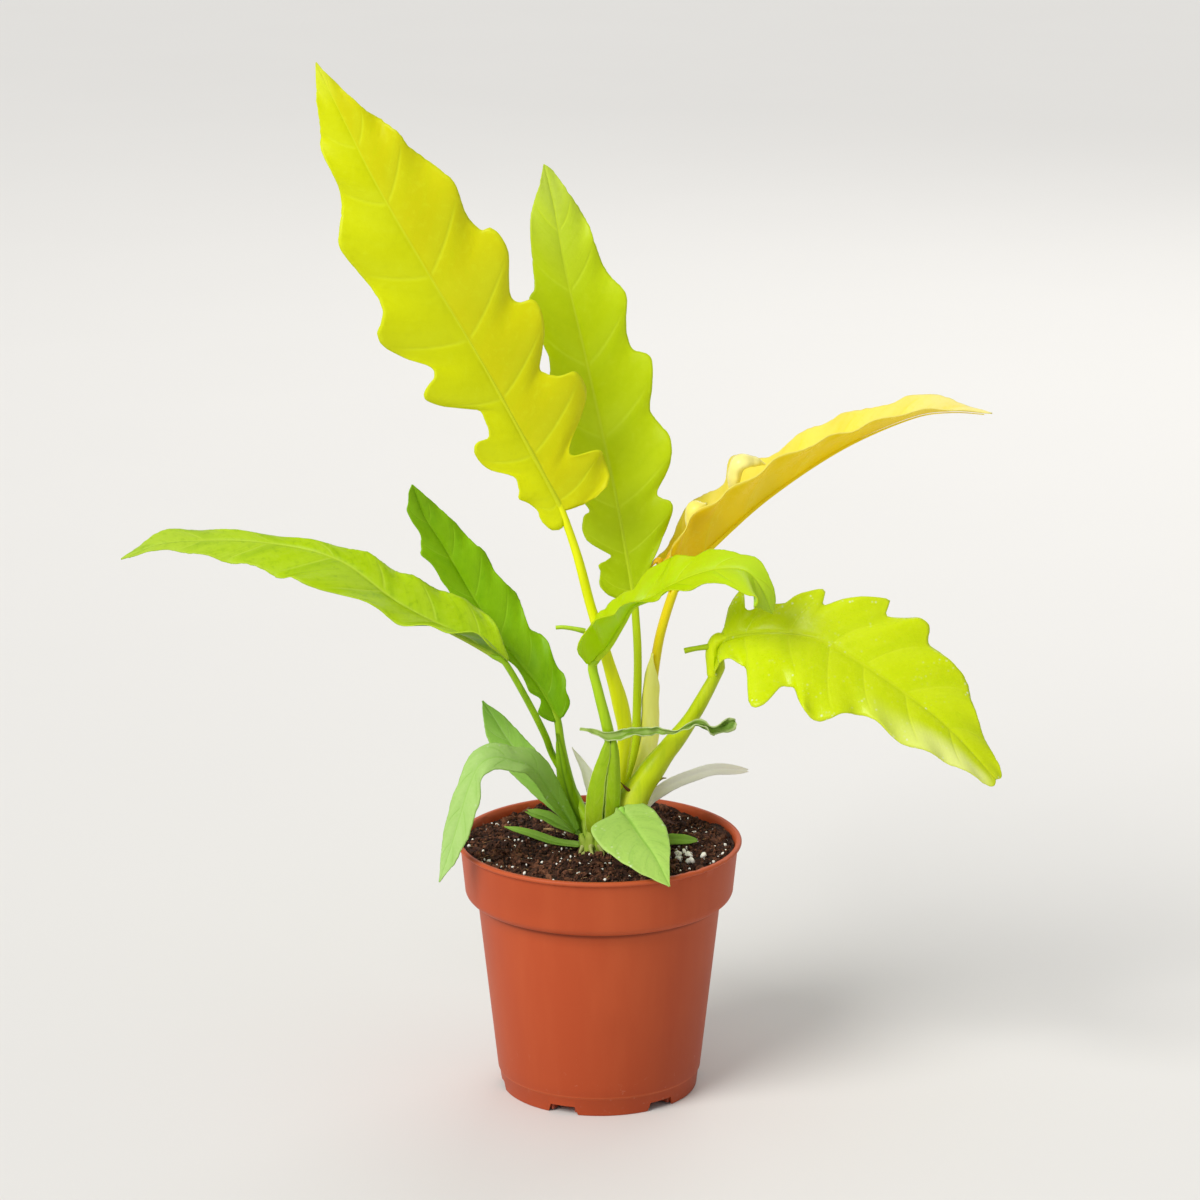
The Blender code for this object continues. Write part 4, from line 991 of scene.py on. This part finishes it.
        leftVeins=((0, 122), (0.1, 96), (0.4, 70), (0.8, 48), (1, 30)),
        right=((0, 2), (3.5, 4), (6, 9.5), (8, 14.5), (9.5, 16.5), (12, 17.5), (15, 17.3), (19.5, 16),
            (24.5, 14), (30.5, 11.5), (37.5, 6.5), (43, 3), (47, 0.3)),
        left=((0, 5), (1.5, 8.5), (4, 10.5), (9, 11), (15.5, 11), (25, 8.5), (34, 5), (43, 1.8),
            (47, 0.3)),
        ribs=(6, 14, 22, 30, 38), ruffle=0.25, quilt=0.12, columns=14, keel=0.6, step=0.6, fray=0.15,
        groove=0.6),
    withered=dict(
        slot="leaf_withered",
        midrib=((-7, -16, 142), (-2, -16, 141), (3, -16, 139.5), (8, -16, 140), (17, -17, 141),
            (27, -17, 141), (34, -16, 143), (40, -14, 142), (49, -12, 143)),
        facing=((0, (0, -1, 0.7)), (0.2, (0, -1, 0.3)), (0.34, (0, -0.7, 1)), (0.52, (0, -1, -0.5)),
            (0.7, (0, -0.6, 1)), (0.84, (0, -1, -0.2)), (1, (0, -1, 0.8))),
        fold=((0, 12), (0.25, 42), (0.5, 16), (0.72, 48), (1, 24)),
        right=((0, 0.4), (5, 0.9), (10, 1.6), (15, 2.8), (20, 1.9), (28, 1.3), (36, 1.0), (41, 2.6),
            (46, 4.4), (50, 3.6), (54, 4.6), (58, 0.6)),
        left=((0, 0.4), (6, 0.8), (12, 1.2), (18, 2.2), (24, 2.1), (32, 1.2), (38, 1.4), (43, 3.2),
            (47, 2.8), (52, 4.2), (56, 2.6), (58, 0.6)),
        ribs=(6, 12, 18, 24, 30, 36, 42, 48, 54), ruffle=1.1, quilt=0.5, columns=9, keel=0, step=0.45,
        thick=0.3, groove=0.5, crumple=2.0, fray=1.3),
    frontLeft=dict(
        flap, piece="front_flap_left", node="front_sheath_left",
        midrib=((-1.5, -10, 99), (-2, -13, 105), (-2, -14, 112), (-1, -14.5, 122), (1, -15, 130),
            (3, -15.3, 137.6)),
        facing=(-0.3, -1, 0.1),
        right=((0, 2.8), (10, 4.1), (20, 4.2), (30, 3.3), (35, 2.0), (38, 0.8)),
        left=((0, 2.8), (6, 3.5), (14, 3.4), (22, 2.7), (34, 1.5), (38, 0.8)), columns=12, curl=0.22),
    frontRight=dict(
        flap, piece="front_flap_right", node="front_sheath_right",
        midrib=((3, -11, 99), (4.5, -13, 105), (5, -14, 112), (5.5, -14.5, 122), (5.6, -15, 130),
            (5.4, -15.3, 137.6)),
        facing=(0.3, -1, 0.1),
        right=((0, 2.4), (12, 3.0), (22, 2.9), (34, 2.0), (38, 0.8)),
        left=((0, 2.6), (12, 3.2), (24, 3.0), (34, 1.8), (38, 0.8)), columns=10, curl=0.3),
    greenWing=dict(
        slot="stalk_green", piece="green_stalk_wing", node="green_wing", look="wing",
        midrib=((-3.8, -6.2, 98.5), (-9.2, -4.8, 107), (-12.8, -2.4, 118.5), (-14.6, 0.9, 128),
            (-15.4, 3.4, 134)),
        facing=(0.1, -1, 0.1), fold=((0, -8), (0.5, -8), (1, -6)),
        right=((0, 1.8), (6, 3.0), (14, 3.5), (22, 3.4), (30, 2.0), (38, 0.7)),
        left=((0, 1.8), (6, 2.8), (14, 3.2), (22, 3.0), (30, 1.8), (38, 0.7)),
        ribs=(6, 14, 22, 28), ruffle=0.2, quilt=0.15, columns=9, keel=0, curl=0.28, groove=0.9),
    huskRight=dict(
        huskLeaf, piece="husk_right", node="pale_husk_right",
        midrib=((6, -1, 97), (13, 5, 100), (18, 11, 106), (26, 14, 111), (34, 16, 114), (43, 18, 116),
            (55, 20, 115)),
        facing=(0, -1, 0.3),
        right=((0, 1.4), (18, 2.6), (40, 3.1), (54, 2.7), (60, 0.9)),
        left=((0, 1.4), (18, 2.5), (40, 3.0), (54, 2.5), (60, 0.9)),
        ribs=(10, 22, 34, 46), ruffle=0.4),
    huskLeft=dict(
        huskLeaf, piece="husk_left", node="pale_husk_left",
        midrib=((0, 4, 100), (-2, 11, 108), (-5, 14, 116), (-10, 16, 125)),
        facing=(0, -1, 0.2),
        right=((0, 1.4), (14, 3.4), (24, 2.4), (34, 0.3)),
        left=((0, 1.4), (14, 2.6), (24, 1.6), (34, 0.3)),
        ribs=(8, 16, 24), ruffle=0.3),
    lowLeft=dict(
        lowLeaf, piece="low_blade_left", node="low_leaf_left",
        midrib=((-7, -6, 94.5), (-16, -4, 95), (-26, 2, 96.5), (-35, 8, 97)),
        facing=(0, -0.6, 1), fold=12,
        right=((0, 1.4), (14, 2.2), (24, 1.8), (31, 0.3)),
        ribs=(6, 12, 18, 24)),
    lowBack=dict(
        lowLeaf, piece="low_blade_back", node="low_leaf_back",
        midrib=((-6, -4, 98), (-14, -2.5, 101), (-19, 0, 103), (-26, 4, 104)),
        facing=(0, -0.6, 1), fold=14,
        right=((0, 1.4), (8, 3), (15, 3), (20, 1.4)),
        ribs=(5, 10, 15)),
    lowRight=dict(
        lowLeaf, piece="low_blade_right", node="low_leaf_right",
        midrib=((7, -7, 95.5), (18, -6, 95.6), (27, -5, 96.2), (36, -3, 95.2)),
        facing=(0, -1, 0.9), fold=10,
        right=((0, 1.4), (10, 2.4), (20, 2.8), (26, 1.6), (28, 0.3)),
        ribs=(6, 12, 18, 24)),
)

for name, leaf in leaves.items():
    makeBlade(leaf.get("piece", name + "_blade"), leaf.get("node", name + "_leaf"), leaf,
              looks[leaf.get("look", name)])
print("leaves made")


# Stalks: each starts inside the crown and ends under its blade

# edge is each stalk's streak colour and, darker than the stalk, its painted shade on the side that faces
# the middle of the plant
stalks = dict(
    gold=dict(
        slot="stalk_gold", colour=(232, 236, 4), edge=(208, 216, 4), foot=(240, 240, 38), groove=0.18,
        path=((0.8, -3.5, 99), (4, -2, 107), (7.5, 0, 122), (9, -0.5, 140), (2, -4, 168), (-3, -5, 185),
            (-8, -7, 205)),
        radii=((0, 3.4), (0.1, 3.3), (0.3, 3.1), (0.5, 2.3), (0.7, 1.9), (0.9, 1.6), (1, 1.4))),
    tall=dict(
        slot="stalk_lime", colour=(196, 214, 4), edge=(158, 192, 4), foot=(196, 210, 20), groove=0.2,
        path=((0, -2, 98), (3, 2.5, 104), (8, 6.5, 111.5), (12.8, 9.5, 125.5), (14, 12, 148),
            (14, 12, 165)),
        radii=((0, 2.6), (0.12, 2.1), (0.5, 1.7), (0.9, 1.5), (1, 1.2))),
    amber=dict(
        slot="stalk_amber", colour=(228, 210, 6), edge=(234, 200, 12), foot=(222, 222, 50), groove=0.15,
        path=((2, -2, 97), (7, 2.5, 101), (14, 7, 113), (18.5, 11, 130), (19, 13, 145), (22, 15, 167)),
        radii=((0, 2.6), (0.12, 1.9), (0.5, 2.0), (0.9, 1.9), (1, 1.4))),
    arching=dict(
        slot="stalk_green", colour=(170, 204, 22), edge=(130, 176, 8), foot=(168, 204, 26), groove=0.22,
        path=((0, -6, 99), (1.4, -8.3, 106), (4, -9, 118), (4.5, -11.5, 133), (0, -14, 154)),
        radii=((0, 2.8), (0.15, 2.1), (0.5, 2.1), (0.9, 1.8), (1, 1.3))),
    lime=dict(
        slot="stalk_lime", colour=(186, 201, 0), edge=(150, 179, 0), foot=(232, 226, 88), groove=0.16,
        path=((1.5, -5, 95), (6.4, -5.3, 101), (12.8, -5, 113.5), (22.2, -5, 127.5), (31.8, -7, 141),
            (38, -8, 152)),
        radii=((0, 5.0), (0.1, 6.4), (0.2, 6.8), (0.34, 5.5), (0.5, 4.2), (0.7, 3.1), (0.9, 2.5),
            (1, 2.0))),
    long=dict(
        slot="stalk_green", colour=(146, 188, 16), edge=(108, 158, 6), foot=(150, 190, 20), groove=0.2,
        path=((-2, -1, 97), (-4.5, 4, 101), (-10, 8, 112), (-17, 7, 125), (-20, 1, 135), (-26, -4, 149)),
        radii=((0, 2.4), (0.14, 1.7), (0.5, 1.5), (0.9, 1.4), (1, 1.1))),
    green=dict(
        slot="stalk_green", colour=(164, 198, 30), edge=(124, 170, 8), foot=(160, 196, 26), groove=0.2,
        path=((-1, -4, 98), (-4.5, -3.5, 104), (-9, 0, 111), (-12, 2.5, 121), (-14, 5, 130)),
        radii=((0, 3.0), (0.2, 2.5), (0.5, 1.9), (0.9, 1.5), (1, 1.1))),
    rim=dict(
        slot="leaf_pale", colour=(160, 208, 84), edge=(130, 184, 60), foot=(164, 206, 90), groove=0.1,
        path=((1, -8, 97), (5, -11, 101.5), (7, -11.5, 104)),
        radii=((0, 2.2), (0.3, 1.7), (0.85, 1.3), (1, 0.9))),
)


def underMidrib(leaf, share, drop):  # a point below the midrib, in mm
    path = route(leaf["midrib"], 1.0)
    row = round(share * (len(path) - 1))
    return path[row] / mm - square(keyed(leaf["facing"], share), headings(path)[row]) * drop


for name, stalk in stalks.items():
    thin = stalk["radii"][-1][1]
    points = list(stalk["path"])
    for share, drop in ((0.004, thin * 0.5), (0.03, thin * 0.75), (0.075, thin)):
        points.append(underMidrib(leaves[name], share, drop))
    bm = newTubeMesh()
    radii = stalk["radii"][:-1] + ((1, 0.45),)
    tube(bm, route(points, 1.3), radii, 26, groove=stalk["groove"], flat=0.06, wander=0.05)
    finish = stalkFinish(name + "Stalk", stalk["colour"], stalk["edge"], stalk["foot"])
    piece = addPiece(name + "_petiole", bm, [finish], 60)
    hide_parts(name + "_stalk")
print("stalks made")


# Sheath round the amber stalk, open at the back and drawn out to a thin point

# beyond: where the middle line of the sheath runs on past the stalk's own points
sheath = dict(radius=3.6, start=0.17, end=0.75, thick=0.35, columns=26, turned=-35, roughness=0.34,
              beyond=((25.8, 16, 183.5), (26.6, 16.3, 185)),
              spread=((0, 128), (0.45, 120), (0.75, 88), (1, 10)),
              colour=(246, 241, 100), edge=(251, 248, 168), foot=(230, 232, 36))


def makeSheath():
    core = route(stalks["amber"]["path"] + sheath["beyond"], 0.9)
    path = core[round(len(core) * sheath["start"]):round(len(core) * sheath["end"])]
    ways = headings(path)
    rows = len(path) - 1
    bm = bmesh.new()
    layers = [bm.verts.layers.float.new(key) for key in ("along", "turn")]
    bmesh.ops.create_grid(bm, x_segments=rows, y_segments=sheath["columns"], size=1.0)
    for vert in bm.verts:
        share = (vert.co.x + 1) / 2
        row = round(share * rows)
        front = square(Vector((0, -1, 0)), ways[row])
        turn = radians(vert.co.y * keyed(sheath["spread"], share) + sheath["turned"] * share)
        wave = 0.3 * noise.noise(Vector((turn * 1.3, share * 9, 4)))
        radius = (sheath["radius"] * (1 - 0.2 * share) + wave) * mm
        vert[layers[0]], vert[layers[1]] = share, cos(turn)
        vert.co = path[row] + (front * cos(turn) + ways[row].cross(front) * sin(turn)) * radius
    finish = stalkFinish("creamSheath", sheath["colour"], sheath["edge"], sheath["foot"],
                         sheath["roughness"])
    piece = addPiece("amber_wrap", bm, [finish], 60)
    thicken(piece, sheath["thick"])
    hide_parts("amber_sheath")


makeSheath()


# Crown: the pale feet of the stalks, gathered at the soil, with short roots

crown = dict(foot=(-1.8, -6.0, 87.5), ring=2.5, radii=((0, 2.9), (0.35, 2.2), (0.8, 1.7), (1, 1.0)),
             colour=(156, 186, 52), pale=(196, 212, 104), brown=(128, 132, 44), roots=15, seed=21)
crownHeads = ((-6.8, -7.0, 99), (-5.5, -5.0, 104), (-3.4, -9.8, 101), (-2.0, -8.4, 105),
              (0.4, -10.0, 102), (1.4, -8.0, 106), (3.8, -9.8, 103), (5.5, -6.0, 104),
              (0.0, -3.0, 105), (3.5, -2.5, 104), (-3.5, -2.0, 103), (8.5, -6.5, 101))


def makeCrown():
    x, y, z = crown["foot"]
    bm = newTubeMesh()
    for head in crownHeads:
        turn = atan2(head[1] - y, head[0] - x)
        foot = Vector((x + crown["ring"] * cos(turn), y + crown["ring"] * sin(turn), z))
        middle = foot.lerp(Vector(head), 0.5) - Vector((cos(turn), sin(turn), 0)) * 0.3
        tube(bm, route([foot, middle, head], 0.9), crown["radii"], 22, flat=0.12, wander=0.34)
    finish = stalkFinish("crownTissue", crown["colour"], crown["pale"], crown["brown"], 0.5)
    piece = addPiece("crown_stem", bm, [finish], 60)
    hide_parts("crown")
    random = Random(crown["seed"])
    bm = newTubeMesh()
    for number in range(crown["roots"]):
        turn = -pi / 2 + (number - 7) * 0.4 + random.uniform(-0.2, 0.2)
        reach = random.uniform(2.0, 7.5)
        start = Vector((x + 3.0 * cos(turn), y + 3.0 * sin(turn), random.uniform(92.2, 96.0)))
        middle = start + Vector((cos(turn) * reach * 0.6, sin(turn) * reach * 0.6, -0.3))
        endX, endY = x + (4.6 + reach) * cos(turn + 0.2), y + (4.6 + reach) * sin(turn + 0.2)
        line = route([start, middle, (endX, endY, fineBed(endX, endY) - 0.6)], 0.7)
        tube(bm, line, ((0, 1.1), (0.5, 0.7), (1, 0.25)), 12, wander=0.3)
    finish = stalkFinish("rootTissue", (160, 170, 84), (196, 200, 126), (128, 112, 60), 0.6)
    addPiece("crown_roots", bm, [finish], 60)


bits = dict(  # name: node, slot, points, radii, colour
    scale_front=(
        "dry_scale_front", "dry_scale",
        ((12.0, -8.6, 115.2), (10.6, -10.2, 116.9), (9.2, -10.9, 118.4), (7.8, -11.1, 120.2)),
        ((0, 0.8), (0.5, 0.7), (1, 0.12)), (96, 50, 20)),
    scale_back=(
        "dry_scale_back", "dry_scale",
        ((20.4, -7.0, 118.0), (21.8, -6.0, 119.2), (23.2, -5.2, 119.8), (24.6, -5.0, 119.8)),
        ((0, 0.9), (0.5, 0.7), (1, 0.3)), (140, 124, 34)),
    arching_stub=(
        None, "stalk_green",
        ((-5, -14.2, 178), (-9, -14, 178.9), (-13, -13.8, 179.4), (-15.6, -13.6, 179.2)),
        ((0, 1.4), (0.5, 1.15), (1, 1.05)), (176, 208, 40)),
    lime_stub=(
        None, "stalk_lime",
        ((42, -9.5, 171.0), (38, -9.6, 170.8), (34, -9.6, 170.2), (30.8, -9.6, 169.4)),
        ((0, 1.6), (0.6, 1.3), (1, 1.45)), (176, 200, 14)),
    lime_collar=(
        None, "leaf_lime",
        ((41.8, -7.6, 156.5), (41.4, -7.4, 162), (41.5, -8.0, 168), (42.8, -9.4, 173.0),
            (46.4, -11.6, 175.4)),
        ((0, 1.8), (0.2, 3.6), (0.5, 4.2), (0.8, 3.4), (1, 1.4)), (216, 232, 0)),
    # a small dark spot on the lance leaf
    lance_dark_spot=(
        None, "potting_mix",
        ((-15.2, 3.2, 107.2), (-14.3, 3.0, 106.4), (-13.5, 3.2, 105.6)),
        ((0, 0.6), (0.5, 1.35), (1, 0.6)), (24, 18, 12)),
    amber_curl_base=(
        None, "leaf_amber",
        ((18.8, 13.8, 194.6), (21.2, 13.0, 197.6), (23.6, 13.4, 196.4), (26.2, 14.4, 199.4),
            (29.4, 15.6, 203.4)),
        ((0, 0.5), (0.3, 1.3), (0.55, 0.9), (0.8, 1.4), (1, 0.5)), (244, 190, 30)),
    amber_curl_low=(
        None, "leaf_amber",
        ((33.2, 17.0, 207), (33.4, 15.0, 213), (34.6, 14.2, 216.6), (37.0, 15.2, 216.4),
            (40.2, 17.4, 213.4)),
        ((0, 1.6), (0.35, 3.0), (0.6, 3.5), (0.8, 2.6), (1, 0.6)), (252, 236, 110)),
    amber_curl_high=(
        None, "leaf_amber",
        ((48.8, 23.5, 220), (49.6, 21.8, 228), (51.2, 21.0, 232.2), (55.4, 22.2, 232.4),
            (60.6, 24.4, 230.8)),
        ((0, 1.8), (0.35, 3.6), (0.6, 4.3), (0.8, 2.9), (1, 0.7)), (253, 240, 140)),
)


def makeBits():
    for name, (node, slot, points, radii, colour) in bits.items():
        bm = newTubeMesh()
        tube(bm, route(points, 0.6), radii, flat=0.3, wander=0.3)
        # painted shade: a darker copy of each bit's colour, laid on its inner side and its foot
        shade = tuple(round(part * 0.9) for part in colour)
        rough = 0.25 if slot == "leaf_amber" else 0.55
        piece = addPiece(name, bm, [stalkFinish(name + "Skin", colour, shade, shade, rough)], 60)
        if node:
            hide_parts(node)


makeCrown()
makeBits()
print("crown and scales made")
